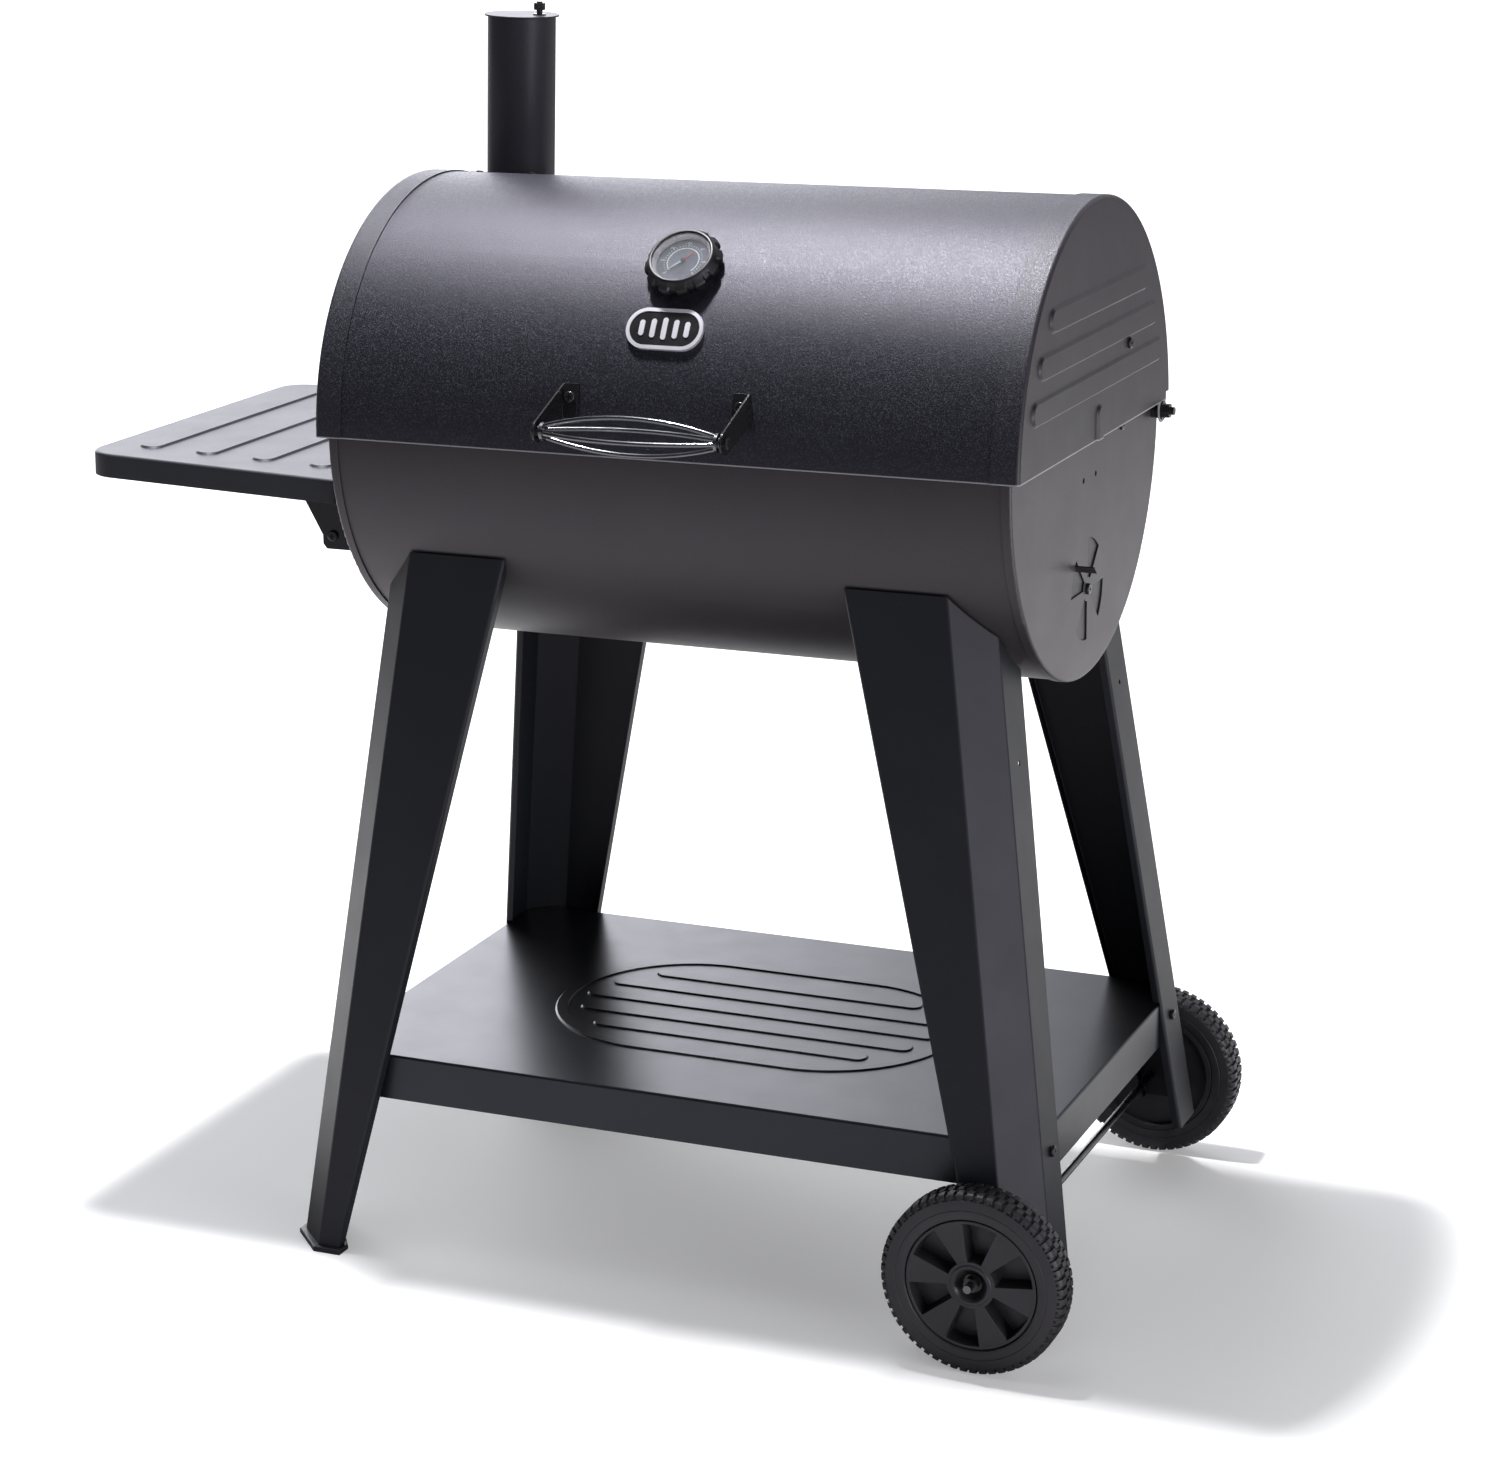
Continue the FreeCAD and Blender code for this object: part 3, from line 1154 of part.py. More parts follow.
# ---- Write the parts -------------------------------------------------------------------------------------
def main():
    os.makedirs("parts", exist_ok=True)
    save("firebox_shell", firebox_shell())
    save("firebox_end_right", firebox_end_right())
    save("firebox_end_left", firebox_end_left())
    save("firebox_end_bolts", bolt_group(firebox_end_bolts()))
    save("grate_rails", Part.makeCompound([grate_rail(), mirrored(grate_rail(), Y_AXIS)]))
    save("coal_rails", Part.makeCompound([coal_rail(), mirrored(coal_rail(), Y_AXIS)]))
    save("cooking_grate_left", wire_grate(-GRATE_HALF_X, -2, GRATE_HALF_Y, GRATE_Z, GRATE_PITCH, GRATE_WIRE))
    save("cooking_grate_right", wire_grate(2, GRATE_HALF_X, GRATE_HALF_Y, GRATE_Z, GRATE_PITCH, GRATE_WIRE))
    save("charcoal_grate", wire_grate(-COAL_HALF_X, COAL_HALF_X, COAL_HALF_Y, COAL_Z, COAL_PITCH, GRATE_FRAME))
    save("vent_damper", vent_damper())
    save("vent_bolt", vent_bolt())

    save("lid_shell", lid_shell())
    save("lid_end_right", lid_end(1))
    save("lid_end_left", lid_end(-1))
    save("lid_end_bolts", bolt_group(lid_end_bolts()))
    save("hinge_bolts", Part.makeCompound(both_ends(hinge_bolt())))
    save("hinge_spacers", Part.makeCompound(both_ends(hinge_spacer())))
    save("hinge_nuts", Part.makeCompound(both_ends(hinge_nut())))

    save("handle_bracket_right", handle_bracket())
    save("handle_bracket_left", mirrored(handle_bracket(), X_AXIS))
    save("handle_wires", handle_wires())
    save("handle_collars", Part.makeCompound(both_ends(handle_collar())))
    save("handle_end_bolts", Part.makeCompound(both_ends(handle_end_bolt())))
    save("handle_bolts", bolt_group(handle_bolts()))

    save("gauge_case", gauge_case())
    save("gauge_bezel", gauge_bezel())
    save("gauge_glass", gauge_rod(GAUGE_CASE_R - 0.2, 16.0, 17.5))
    save("gauge_dial", gauge_dial())
    save("gauge_needle", gauge_needle())
    save("gauge_stem", gauge_stem())
    save("gauge_nut", gauge_nut())
    save("badge_plate", badge_plate())
    save("badge_inlay", badge_inlay())

    save("chimney_pipe", chimney_pipe())
    save("chimney_flange", chimney_flange())
    save("chimney_bolts", bolt_group(chimney_bolts()))
    save("chimney_bridge", chimney_bridge())
    save("chimney_damper", chimney_damper())
    save("chimney_damper_bolt", damper_bolt())

    save("leg_front_right", wheel_leg())
    save("leg_rear_right", mirrored(wheel_leg(), Y_AXIS))
    save("leg_front_left", mirrored(foot_leg(), X_AXIS))
    save("leg_rear_left", mirrored(mirrored(foot_leg(), X_AXIS), Y_AXIS))
    save("leg_brackets", Part.makeCompound(four_corners(leg_bracket())))
    save("leg_bolts", bolt_group(leg_bolts()))
    save("foot_front", mirrored(foot(), X_AXIS))
    save("foot_rear", mirrored(mirrored(foot(), X_AXIS), Y_AXIS))

    save("bottom_shelf", bottom_shelf())
    save("bottom_shelf_bolts", bolt_group(shelf_bolts()))
    save("side_shelf", side_shelf())
    save("side_shelf_gusset_front", gusset())
    save("side_shelf_gusset_rear", mirrored(gusset(), Y_AXIS))
    save("side_shelf_wall_brackets", Part.makeCompound([wall_bracket(), mirrored(wall_bracket(), Y_AXIS)]))
    save("side_shelf_bolts", bolt_group(side_shelf_wall_bolts() + gusset_bolts()))

    save("axle", rod_y(AXLE_R, -AXLE_HALF, AXLE_HALF, AXLE_X, AXLE_Z))
    fittings = axle_fittings()
    save("axle_fittings", Part.makeCompound(fittings + [mirrored(p, Y_AXIS) for p in fittings]))
    save("wheel_rim_front", wheel_rim())
    save("wheel_rim_rear", mirrored(wheel_rim(), Y_AXIS))
    save("wheel_tyre_front", wheel_tyre())
    save("wheel_tyre_rear", mirrored(wheel_tyre(), Y_AXIS))


main()
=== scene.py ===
"""Looks for the barrel charcoal grill: materials, detailed pieces, a pale studio and the camera."""

import math
import json

import bmesh
import bpy
from mathutils import Matrix, Vector


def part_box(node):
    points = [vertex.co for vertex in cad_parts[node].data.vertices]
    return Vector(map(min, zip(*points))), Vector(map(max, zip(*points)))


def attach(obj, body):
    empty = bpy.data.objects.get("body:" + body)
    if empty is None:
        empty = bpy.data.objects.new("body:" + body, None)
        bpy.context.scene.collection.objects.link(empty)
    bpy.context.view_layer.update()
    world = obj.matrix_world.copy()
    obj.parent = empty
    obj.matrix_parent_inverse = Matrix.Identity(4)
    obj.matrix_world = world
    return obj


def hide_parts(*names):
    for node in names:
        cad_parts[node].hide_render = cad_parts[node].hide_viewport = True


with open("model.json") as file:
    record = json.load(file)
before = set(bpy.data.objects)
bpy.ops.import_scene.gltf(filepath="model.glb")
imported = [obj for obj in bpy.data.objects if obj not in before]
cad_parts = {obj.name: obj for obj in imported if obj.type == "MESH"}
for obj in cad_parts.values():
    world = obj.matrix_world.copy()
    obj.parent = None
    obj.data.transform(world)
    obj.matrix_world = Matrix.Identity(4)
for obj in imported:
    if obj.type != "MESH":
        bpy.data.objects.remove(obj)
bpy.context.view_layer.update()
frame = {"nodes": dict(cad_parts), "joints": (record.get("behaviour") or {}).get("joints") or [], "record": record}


def clamp(value):
    """Keep a value from 0 to 1."""
    return max(0.0, min(1.0, value))


def add_object(name, data):
    """A new object in the scene."""
    made = bpy.data.objects.new(name, data)
    bpy.context.scene.collection.objects.link(made)
    return made


# ---- Node helpers -------------------------------------------------------------------------------------------
# Where a Mix node keeps its share, its two inputs and its result
MIX_SOCKETS = {"RGBA": (0, 6, 7, 2), "FLOAT": (0, 2, 3, 0)}


class Nodes:
    """A node tree, with short ways to add and join nodes."""

    def __init__(self, tree):
        self.tree = tree

    def node(self, kind, **settings):
        made = self.tree.nodes.new(kind)
        for key, value in settings.items():
            setattr(made, key, value)
        return made

    def link(self, source, target):
        self.tree.links.new(source, target)

    def put(self, value, socket):
        """Give a socket another node's output, a number or a colour."""
        if isinstance(value, bpy.types.NodeSocket):
            self.link(value, socket)
        elif isinstance(value, (int, float)):
            socket.default_value = value
        else:
            socket.default_value = (*value, 1)

    def mix(self, share, a, b, kind="RGBA"):
        """Between a, where the share is 0, and b, where it is 1."""
        made = self.node("ShaderNodeMix", data_type=kind)
        *into, result = MIX_SOCKETS[kind]
        for value, i in zip((share, a, b), into):
            self.put(value, made.inputs[i])
        return made.outputs[result]

    def fade(self, source, start, end, first, last, smooth=False):
        """Goes from first to last while the source goes from start to end."""
        made = self.node("ShaderNodeMapRange", interpolation_type="SMOOTHSTEP" if smooth else "LINEAR")
        for key, value in (("From Min", start), ("From Max", end), ("To Min", first), ("To Max", last)):
            made.inputs[key].default_value = value
        self.link(source, made.inputs["Value"])
        return made.outputs["Result"]

    def total(self, values):
        """The sum of sockets or numbers."""
        result = values[0]
        for value in values[1:]:
            made = self.node("ShaderNodeMath", operation="ADD")
            self.put(result, made.inputs[0])
            self.put(value, made.inputs[1])
            result = made.outputs[0]
        return result


class Paint(Nodes):
    """A procedural material: the Principled shader, with textures in the object's own frame, in metres."""

    def __init__(self, name, roughness=0.5, metallic=0.0, **sockets):
        self.material = bpy.data.materials.new(name)
        self.material.use_nodes = True
        super().__init__(self.material.node_tree)
        self.shader = self.tree.nodes["Principled BSDF"]
        self.shader.inputs["Roughness"].default_value = roughness
        self.shader.inputs["Metallic"].default_value = metallic
        for key, value in sockets.items():
            self.shader.inputs[key.replace("_", " ")].default_value = value
        self.place = self.node("ShaderNodeTexCoord").outputs["Object"]
        self.normal = None

    def round_edges(self, radius):
        """Shade sheet-metal edges as if they were rounded."""
        made = self.node("ShaderNodeBevel", samples=4)
        made.inputs["Radius"].default_value = radius
        self.normal = made.outputs["Normal"]
        self.link(self.normal, self.shader.inputs["Normal"])

    def noise(self, scale, detail=2.0, roughness=0.5):
        made = self.node("ShaderNodeTexNoise")
        made.inputs["Scale"].default_value = scale
        made.inputs["Detail"].default_value = detail
        made.inputs["Roughness"].default_value = roughness
        self.link(self.place, made.inputs["Vector"])
        return made.outputs["Fac"]

    def cells(self, scale):
        made = self.node("ShaderNodeTexVoronoi")
        made.inputs["Scale"].default_value = scale
        self.link(self.place, made.inputs["Vector"])
        return made.outputs["Color"]

    def ramp(self, source, *stops):
        """Map 0 to 1 onto colours: each stop is (position, colour or grey)."""
        made = self.node("ShaderNodeValToRGB")
        points = made.color_ramp.elements
        while len(points) < len(stops):
            points.new(0.5)
        for point, (position, colour) in zip(points, stops):
            grey = isinstance(colour, (int, float))
            point.position = position
            point.color = (colour, colour, colour, 1) if grey else (*colour, 1)
        self.link(source, made.inputs["Fac"])
        return made.outputs["Color"]

    def bump(self, source, height, strength=None):
        """Raise the surface by a texture, in metres; a strength socket fades it."""
        made = self.node("ShaderNodeBump")
        if strength is not None:
            self.link(strength, made.inputs["Strength"])
        made.inputs["Distance"].default_value = height
        self.link(source, made.inputs["Height"])
        if self.normal:
            self.link(self.normal, made.inputs["Normal"])
        self.normal = made.outputs["Normal"]
        self.link(self.normal, self.shader.inputs["Normal"])

    def colour(self, source):
        self.link(source, self.shader.inputs["Base Color"])

    def gloss(self, source):
        self.link(source, self.shader.inputs["Roughness"])


def shade(colour, factor):
    """The colour, made darker or brighter."""
    return tuple(min(1.0, c * factor) for c in colour)


# ---- Materials ----------------------------------------------------------------------------------------------
EDGE_ROUND = 0.0006       # shaded radius of a sheet's edges
THICK_COAT = 2.5          # how much rounder the lid's thick paint makes its edges
# Scales of the paints' grain and flecks, per metre
GRAIN = 1500
FINE_GRAIN = 1800
COARSE_GRAIN = 900
LID_GRAIN = 850
FLECK = 1000
# Scales of the clouds in colour and gloss, per metre
COAT_CLOUDS = 7
COAT_GLOSS_CLOUDS = 23
PLATE_CLOUDS = 90
PLATE_GLOSS_CLOUDS = 260
CHROME_CLOUDS = 40
PLASTIC_CLOUDS = 30
SMALL_GLOSS_CLOUDS = 60
# How high the grain stands, in metres
LID_BUMP = 0.0004
PLATE_BUMP = 0.00003
PLASTIC_BUMP = 0.00006
LID_SPARKLE = 5.0         # how much brighter than the paint its flecks are
FACE_BUMP_SHARE = 0.12    # the end faces' grain against the lid's
LID_COLOUR = (0.0068, 0.0070, 0.0105)
SATIN_COLOUR = (0.0220, 0.0184, 0.0215)
# painted highlight: the pale colour of a thin line along the lid's lowest edge
EDGE_HIGHLIGHT_COLOUR = (0.30, 0.29, 0.31)
LID_EDGE_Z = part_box("lid_shell")[0].z
LID_EDGE_HIGHLIGHT_FADE = (0.0008, 0.0016)  # above the lid's lowest edge, where the painted highlight ends
COOL_TINT = (0.92, 0.89, 1.0)


def coat_tone(paint, colour, speck, sparkle=0.0):
    """Powder paint's colour: cloudy, grained and, on the lid, with bright flecks."""
    cloud = paint.noise(COAT_CLOUDS, 3, 0.6)
    tone = paint.ramp(cloud, (0.3, shade(colour, 0.82)), (0.7, shade(colour, 1.2)))
    tone = paint.mix(paint.ramp(speck, (0.45, 0.0), (0.75, 1.0)), tone, shade(colour, 1.7))
    if sparkle:
        fleck = paint.ramp(paint.cells(FLECK), (0.65, 0.0), (0.95, 1.0))
        tone = paint.mix(fleck, tone, shade(colour, 1 + sparkle))
    return tone


def painted_edge_highlight(paint, tone):
    """Painted highlight: a thin pale line along the lid's lower edge, standing in for light caught on its rounded
    edge.
    """
    axis = paint.node("ShaderNodeSeparateXYZ")
    paint.link(paint.place, axis.inputs[0])
    low, high = (LID_EDGE_Z + rise for rise in LID_EDGE_HIGHLIGHT_FADE)
    return paint.mix(paint.fade(axis.outputs["Z"], low, high, 1.0, 0.0), tone, EDGE_HIGHLIGHT_COLOUR)


def coat_gloss(paint, roughness, sparkle=0.0):
    """Nearly even gloss; the sparkling coat's flecks each have their own."""
    if sparkle:
        return paint.ramp(paint.cells(FLECK), (0.2, roughness - 0.12), (0.8, roughness + 0.10))
    cloud = paint.noise(COAT_GLOSS_CLOUDS, 4, 0.6)
    return paint.ramp(cloud, (0.3, roughness - 0.015), (0.7, roughness + 0.02))


def powder_coat(name, colour, roughness, grain, depth, sparkle=0.0, specular=0.5, tint=COOL_TINT):
    """Baked powder paint on sheet metal; its shine has a slight tint, and the sparkling coat is thicker."""
    paint = Paint(name, roughness, Specular_IOR_Level=specular, Specular_Tint=(*tint, 1))
    paint.round_edges(THICK_COAT * EDGE_ROUND if sparkle else EDGE_ROUND)
    speck = paint.noise(grain, 3, 0.7)
    tone = coat_tone(paint, colour, speck, sparkle)
    # on the lid, a painted highlight along its lowest edge
    paint.colour(painted_edge_highlight(paint, tone) if sparkle else tone)
    paint.gloss(coat_gloss(paint, roughness, sparkle))
    paint.bump(speck, depth)
    return paint.material


def lid_end_coat(name, face, lip, face_roughness, lip_roughness):
    """The lid's ends: satin paint on the flat face, and the lid's own sparkling paint on the lip round it."""
    paint = Paint(name, face_roughness, Specular_Tint=(*COOL_TINT, 1))
    paint.round_edges(EDGE_ROUND)
    axis = paint.node("ShaderNodeSeparateXYZ")
    paint.link(paint.node("ShaderNodeTexCoord").outputs["Normal"], axis.inputs[0])
    flat = paint.node("ShaderNodeMath", operation="ABSOLUTE")
    paint.link(axis.outputs["X"], flat.inputs[0])
    on_face = paint.ramp(flat.outputs[0], (0.35, 0.0), (0.6, 1.0))
    speck = paint.noise(LID_GRAIN, 3, 0.7)
    tone = paint.mix(on_face, coat_tone(paint, lip, speck, LID_SPARKLE), coat_tone(paint, face, speck))
    # a painted highlight along the lid's lowest edge
    paint.colour(painted_edge_highlight(paint, tone))
    gloss = coat_gloss(paint, lip_roughness, LID_SPARKLE)
    paint.gloss(paint.mix(on_face, gloss, coat_gloss(paint, face_roughness)))
    paint.bump(speck, LID_BUMP, paint.ramp(on_face, (0.0, 1.0), (1.0, FACE_BUMP_SHARE)))
    return paint.material


def plated_steel(name, colour, roughness):
    """Dull zinc or bare wire: cloudy and slightly rough."""
    paint = Paint(name, roughness, 1.0)
    cloud = paint.noise(PLATE_CLOUDS, 4, 0.65)
    paint.colour(paint.ramp(cloud, (0.3, shade(colour, 0.72)), (0.7, colour)))
    gloss_cloud = paint.noise(PLATE_GLOSS_CLOUDS, 3)
    paint.gloss(paint.ramp(gloss_cloud, (0.3, roughness - 0.08), (0.7, roughness + 0.1)))
    paint.bump(paint.noise(COARSE_GRAIN, 2), PLATE_BUMP)
    return paint.material


def chrome(name, colour, roughness, metallic=1.0):
    """Bright plating, or with less metal a silver print; smooth, with faint clouds."""
    paint = Paint(name, roughness, metallic)
    paint.colour(paint.ramp(paint.noise(CHROME_CLOUDS, 2), (0.3, shade(colour, 0.85)), (0.7, colour)))
    paint.gloss(paint.ramp(paint.noise(SMALL_GLOSS_CLOUDS, 2), (0.35, roughness), (0.7, roughness + 0.06)))
    return paint.material


def moulded_plastic(name, colour, roughness):
    """Moulded plastic, or flat paint on a small part, with a fine grain."""
    paint = Paint(name, roughness, Specular_Tint=(0.93, 0.90, 1.0, 1))
    paint.round_edges(EDGE_ROUND)
    cloud = paint.noise(PLASTIC_CLOUDS, 3)
    paint.colour(paint.ramp(cloud, (0.3, shade(colour, 0.85)), (0.7, shade(colour, 1.25))))
    gloss_cloud = paint.noise(SMALL_GLOSS_CLOUDS, 4)
    paint.gloss(paint.ramp(gloss_cloud, (0.3, roughness - 0.06), (0.7, roughness + 0.08)))
    paint.bump(paint.noise(GRAIN, 2), PLASTIC_BUMP)
    return paint.material


def clear_glass(name):
    """Clear glass with a trace of blue."""
    paint = Paint(name, 0.03, Transmission_Weight=1.0, IOR=1.45)
    paint.colour(paint.ramp(paint.noise(20, 2), (0.3, (0.93, 0.95, 0.96)), (0.7, (0.99, 1.0, 1.0))))
    return paint.material


LOOKS = {
    "lid_paint": powder_coat(
        "lid_paint", LID_COLOUR, 0.45, LID_GRAIN, LID_BUMP, LID_SPARKLE, tint=(0.88, 0.85, 1.0)),
    "lid_end_paint": lid_end_coat("lid_end_paint", SATIN_COLOUR, LID_COLOUR, 0.46, 0.48),
    "firebox_paint": powder_coat(
        "firebox_paint", SATIN_COLOUR, 0.46, GRAIN, 0.00006, specular=0.65, tint=(0.96, 0.90, 1.0)),
    "end_paint": powder_coat("end_paint", SATIN_COLOUR, 0.5, GRAIN, 0.00006, tint=(1.0, 0.86, 0.95)),
    "leg_paint": powder_coat("leg_paint", (0.0075, 0.0085, 0.0115), 0.5, FINE_GRAIN, 0.00005, specular=0.35),
    "shelf_paint": powder_coat(
        "shelf_paint", (0.0070, 0.0070, 0.0095), 0.33, FINE_GRAIN, 0.00001, tint=(0.84, 0.86, 1.0)),
    "side_shelf_paint": powder_coat(
        "side_shelf_paint", (0.014, 0.0142, 0.018), 0.48, FINE_GRAIN, 0.00002, tint=(0.91, 0.92, 1.0)),
    "chimney_paint": powder_coat("chimney_paint", (0.020, 0.0195, 0.025), 0.40, GRAIN, 0.00005),
    "bracket_paint": powder_coat("bracket_paint", (0.010, 0.010, 0.011), 0.22, GRAIN, 0.00004),
    "damper_paint": powder_coat("damper_paint", (0.016, 0.0155, 0.017), 0.45, GRAIN, 0.00005),
    "cast_grate": powder_coat("cast_grate", (0.02, 0.019, 0.018), 0.35, COARSE_GRAIN, 0.0001),
    "coal_grate": plated_steel("coal_grate", (0.30, 0.27, 0.25), 0.5),
    "zinc": plated_steel("zinc", (0.17, 0.17, 0.175), 0.32),
    "bolt_black": chrome("bolt_black", (0.035, 0.035, 0.038), 0.22, 0.5),
    "wire_chrome": chrome("wire_chrome", (0.23, 0.23, 0.25), 0.18),
    "gauge_steel": chrome("gauge_steel", (0.90, 0.85, 0.86), 0.25, 0.25),
    "bezel_black": moulded_plastic("bezel_black", (0.005, 0.0048, 0.0052), 0.42),
    "gauge_glass": clear_glass("gauge_glass"),
    "gauge_face": moulded_plastic("gauge_face", (0.10, 0.105, 0.14), 0.4),
    "dial_white": moulded_plastic("dial_white", (0.75, 0.77, 0.78), 0.4),
    "needle_paint": moulded_plastic("needle_paint", (0.6, 0.03, 0.02), 0.35),
    "badge_rim": chrome("badge_rim", (0.80, 0.79, 0.86), 0.3, 0.55),
    "badge_black": moulded_plastic("badge_black", (0.012, 0.012, 0.013), 0.2),
    "tyre_plastic": moulded_plastic("tyre_plastic", (0.018, 0.0165, 0.019), 0.46),
    "rim_plastic": moulded_plastic("rim_plastic", (0.015, 0.0140, 0.016), 0.40),
    "foot_plastic": moulded_plastic("foot_plastic", (0.006, 0.006, 0.007), 0.45),
}


# ---- Mesh helpers -------------------------------------------------------------------------------------------
# Angles, in degrees, above which an edge stays sharp
TYRE_SHARP = 28
RIM_SHARP = 24
RING_SHARP = 40


def piece(name, mesh, body, slot, smooth=True):
    """A finished object that rides on a body and takes its slot's material."""
    made = add_object(name, mesh)
    mesh.materials.clear()
    mesh.materials.append(LOOKS[slot])
    if smooth:
        mesh.polygons.foreach_set("use_smooth", [True] * len(mesh.polygons))
    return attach(made, body)


def grid_mesh(name, rows):
    """Join a grid of points with quads; rows and columns both close on themselves."""
    count, width = len(rows), len(rows[0])
    points = [p for row in rows for p in row]
    faces = []
    for i in range(count):
        for j in range(width):
            a, b = i * width + j, i * width + (j + 1) % width
            c, d = ((i + 1) % count) * width + (j + 1) % width, ((i + 1) % count) * width + j
            faces.append((a, b, c, d))
    mesh = bpy.data.meshes.new(name)
    mesh.from_pydata(points, [], faces)
    mesh.update()
    return mesh


def sharpen(obj, degrees):
    """Shade smooth, with edges kept sharp where faces meet at more than this angle."""
    bm = bmesh.new()
    bm.from_mesh(obj.data)
    bmesh.ops.recalc_face_normals(bm, faces=bm.faces)
    limit = math.radians(degrees)
    for edge in bm.edges:
        edge.smooth = len(edge.link_faces) == 2 and edge.calc_face_angle(0) < limit
    for face in bm.faces:
        face.smooth = True
    bm.to_mesh(obj.data)
    bm.free()


def mesh_from(bm, name):
    """Keep a bmesh as a mesh, with its faces turned outwards."""
    bmesh.ops.recalc_face_normals(bm, faces=bm.faces)
    mesh = bpy.data.meshes.new(name)
    bm.to_mesh(mesh)
    bm.free()
    return mesh


# ---- Wheels -------------------------------------------------------------------------------------------------
LUGS = 58                         # blocks round the tyre
TREAD_DEPTH = 0.0026
# Where each row of points lies within one lug, from 0 to 1
LUG_PHASES = (0.0, 0.03, 0.28, 0.32, 0.36, 0.39, 0.60, 0.64, 0.70, 0.74, 0.97)
RING_GROOVE = (0.0120, 0.0134)    # the groove round the tread, from the wall; the far side has its mirror
MIDDLE_GAP = (0.30, 0.72)         # the gaps between blocks, as shares of a lug
WALL_GAP = 0.62
SHOULDER_GAP = 0.36
NOTCH_DROP = 0.0038               # below the tread, where the shoulder's notches start
WALL_DEPTH = 0.004                # from the wall, where the cuts also go inwards
WALL_CUT_SHARE = 0.35             # how far inwards, as a share of the cut's depth
WALL_RING = 0.37                  # where the wall's thin ring lies, as a share of the way from rim to tread
SHOULDER_DROP = 0.0062            # below the tread, where the shoulder starts
TYRE_PLAY = 0.0001                # between tyre and rim


def tyre_section(outer, inner, width):
    """The tyre's outline from rim to rim, as (radius, depth, share of the tread's depth that is cut)."""
    ring = inner + WALL_RING * (outer - inner)
    shoulder = outer - SHOULDER_DROP
    half = [
        (inner, 0.0060, 0), (inner, 0.0016, 0), (inner + 0.0007, 0.0003, 0), (inner + 0.0013, 0.0, 0),
        (ring - 0.0005, 0.0, 0), (ring, 0.0004, 0), (ring + 0.0005, 0.0, 0),
        (shoulder - 0.0010, 0.0002, 0), (shoulder, 0.0004, 0), (shoulder + 0.0003, 0.0005, 1),
        (shoulder + 0.0022, 0.0011, 1), (shoulder + 0.0025, 0.0013, 1),
        (outer - 0.0016, 0.0026, 1), (outer - 0.0006, 0.0042, 1), (outer - 0.0001, 0.0062, 1),
        (outer, 0.0118, 1), (outer, 0.0121, 1), (outer, 0.0132, 1), (outer, 0.0135, 1),
    ]
    return half + [(r, width - a, g) for r, a, g in reversed(half)]


def groove(phase, depth, radius, outer, width):
    """1 where the tread is cut away, 0 on a block."""
    side = min(depth, width - depth)
    if RING_GROOVE[0] < side < RING_GROOVE[1]:
        return 1.0
    if side >= RING_GROOVE[1]:
        return 1.0 if MIDDLE_GAP[0] < phase < MIDDLE_GAP[1] else 0.0
    if radius < outer - NOTCH_DROP:
        return 1.0 if phase < WALL_GAP else 0.0
    return 1.0 if phase < SHOULDER_GAP else 0.0


def tyre(name, node, body, outward):
    """A moulded tyre: smooth walls with a thin ring, notches on each shoulder, and staggered blocks."""
    low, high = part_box(node)
    centre = (low + high) / 2
    outer = (high.x - low.x) / 2
    width = high.y - low.y
    rim_low, rim_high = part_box(node.replace("tyre", "rim"))
    inner = (rim_high.x - rim_low.x) / 2 + TYRE_PLAY
    section = tyre_section(outer, inner, width)
    rows = []
    for lug in range(LUGS):
        for phase in LUG_PHASES:
            turn = 2 * math.pi * (lug + phase) / LUGS
            row = []
            for radius, depth, share in section:
                cut = share * groove(phase, depth, radius, outer, width) * TREAD_DEPTH
                r = radius - cut
                inwards = WALL_CUT_SHARE * cut if depth < WALL_DEPTH else 0
                y = centre.y + outward * (width / 2 - depth - inwards)
                row.append((centre.x + r * math.cos(turn), y, centre.z + r * math.sin(turn)))
            rows.append(row)
    made = piece(name, grid_mesh(name, rows), body, "tyre_plastic")
    sharpen(made, TYRE_SHARP)
    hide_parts(node)


RIM_POCKETS = 6
POCKET_PHASE = 22.0               # degrees, in the wheel's plane
POCKET_DEPTH = 0.018
POCKET_RADII = (0.0235, 0.0615)
POCKET_HALF = (0.0072, 0.0172)    # half width at each of those radii
POCKET_BEVEL = 0.0003             # softened edge, across
POCKET_WALL = 0.0016              # drafted wall, across
POCKET_END = 0.012                # from a pocket's end to its first row of flat floor
BEVEL_SHARE = 0.04                # how deep the softened edge goes, as a share of the pocket
SPOKE_STEPS = 5                   # columns on half a spoke


def rim_section(outer, width):
    """The rim's outline, as (radius, depth, pocket share): hub, raised ring, face, outer groove, back."""
    near, far = POCKET_RADII
    return [
        (0.0041, 0.0100, 0), (0.0095, 0.0098, 0), (0.0110, 0.0086, 0), (0.0132, 0.0050, 0),
        (0.0150, 0.0020, 0), (0.0160, 0.0006, 0), (0.0170, 0.0, 0), (0.0188, 0.0, 0),
        (0.0199, 0.0003, 0), (0.0206, 0.0010, 0),
        (near - 0.0010, 0.0011, 0), (near, 0.0011, 0), (near + POCKET_BEVEL, 0.0012, BEVEL_SHARE),
        (near + POCKET_WALL, 0.0012, 1), (near + POCKET_END, 0.0012, 1),
        (far - POCKET_END, 0.0012, 1), (far - POCKET_WALL, 0.0012, 1),
        (far - POCKET_BEVEL, 0.0012, BEVEL_SHARE), (far, 0.0011, 0), (far + 0.0010, 0.0010, 0),
        (outer - 0.0014, 0.0010, 0), (outer - 0.0009, 0.0013, 0), (outer - 0.0009, 0.0060, 0),
        (outer, 0.0060, 0), (outer, width, 0), (0.0600, width, 0), (0.0600, 0.0285, 0),
        (0.0150, 0.0285, 0), (0.0150, width, 0), (0.0041, width, 0),
    ]


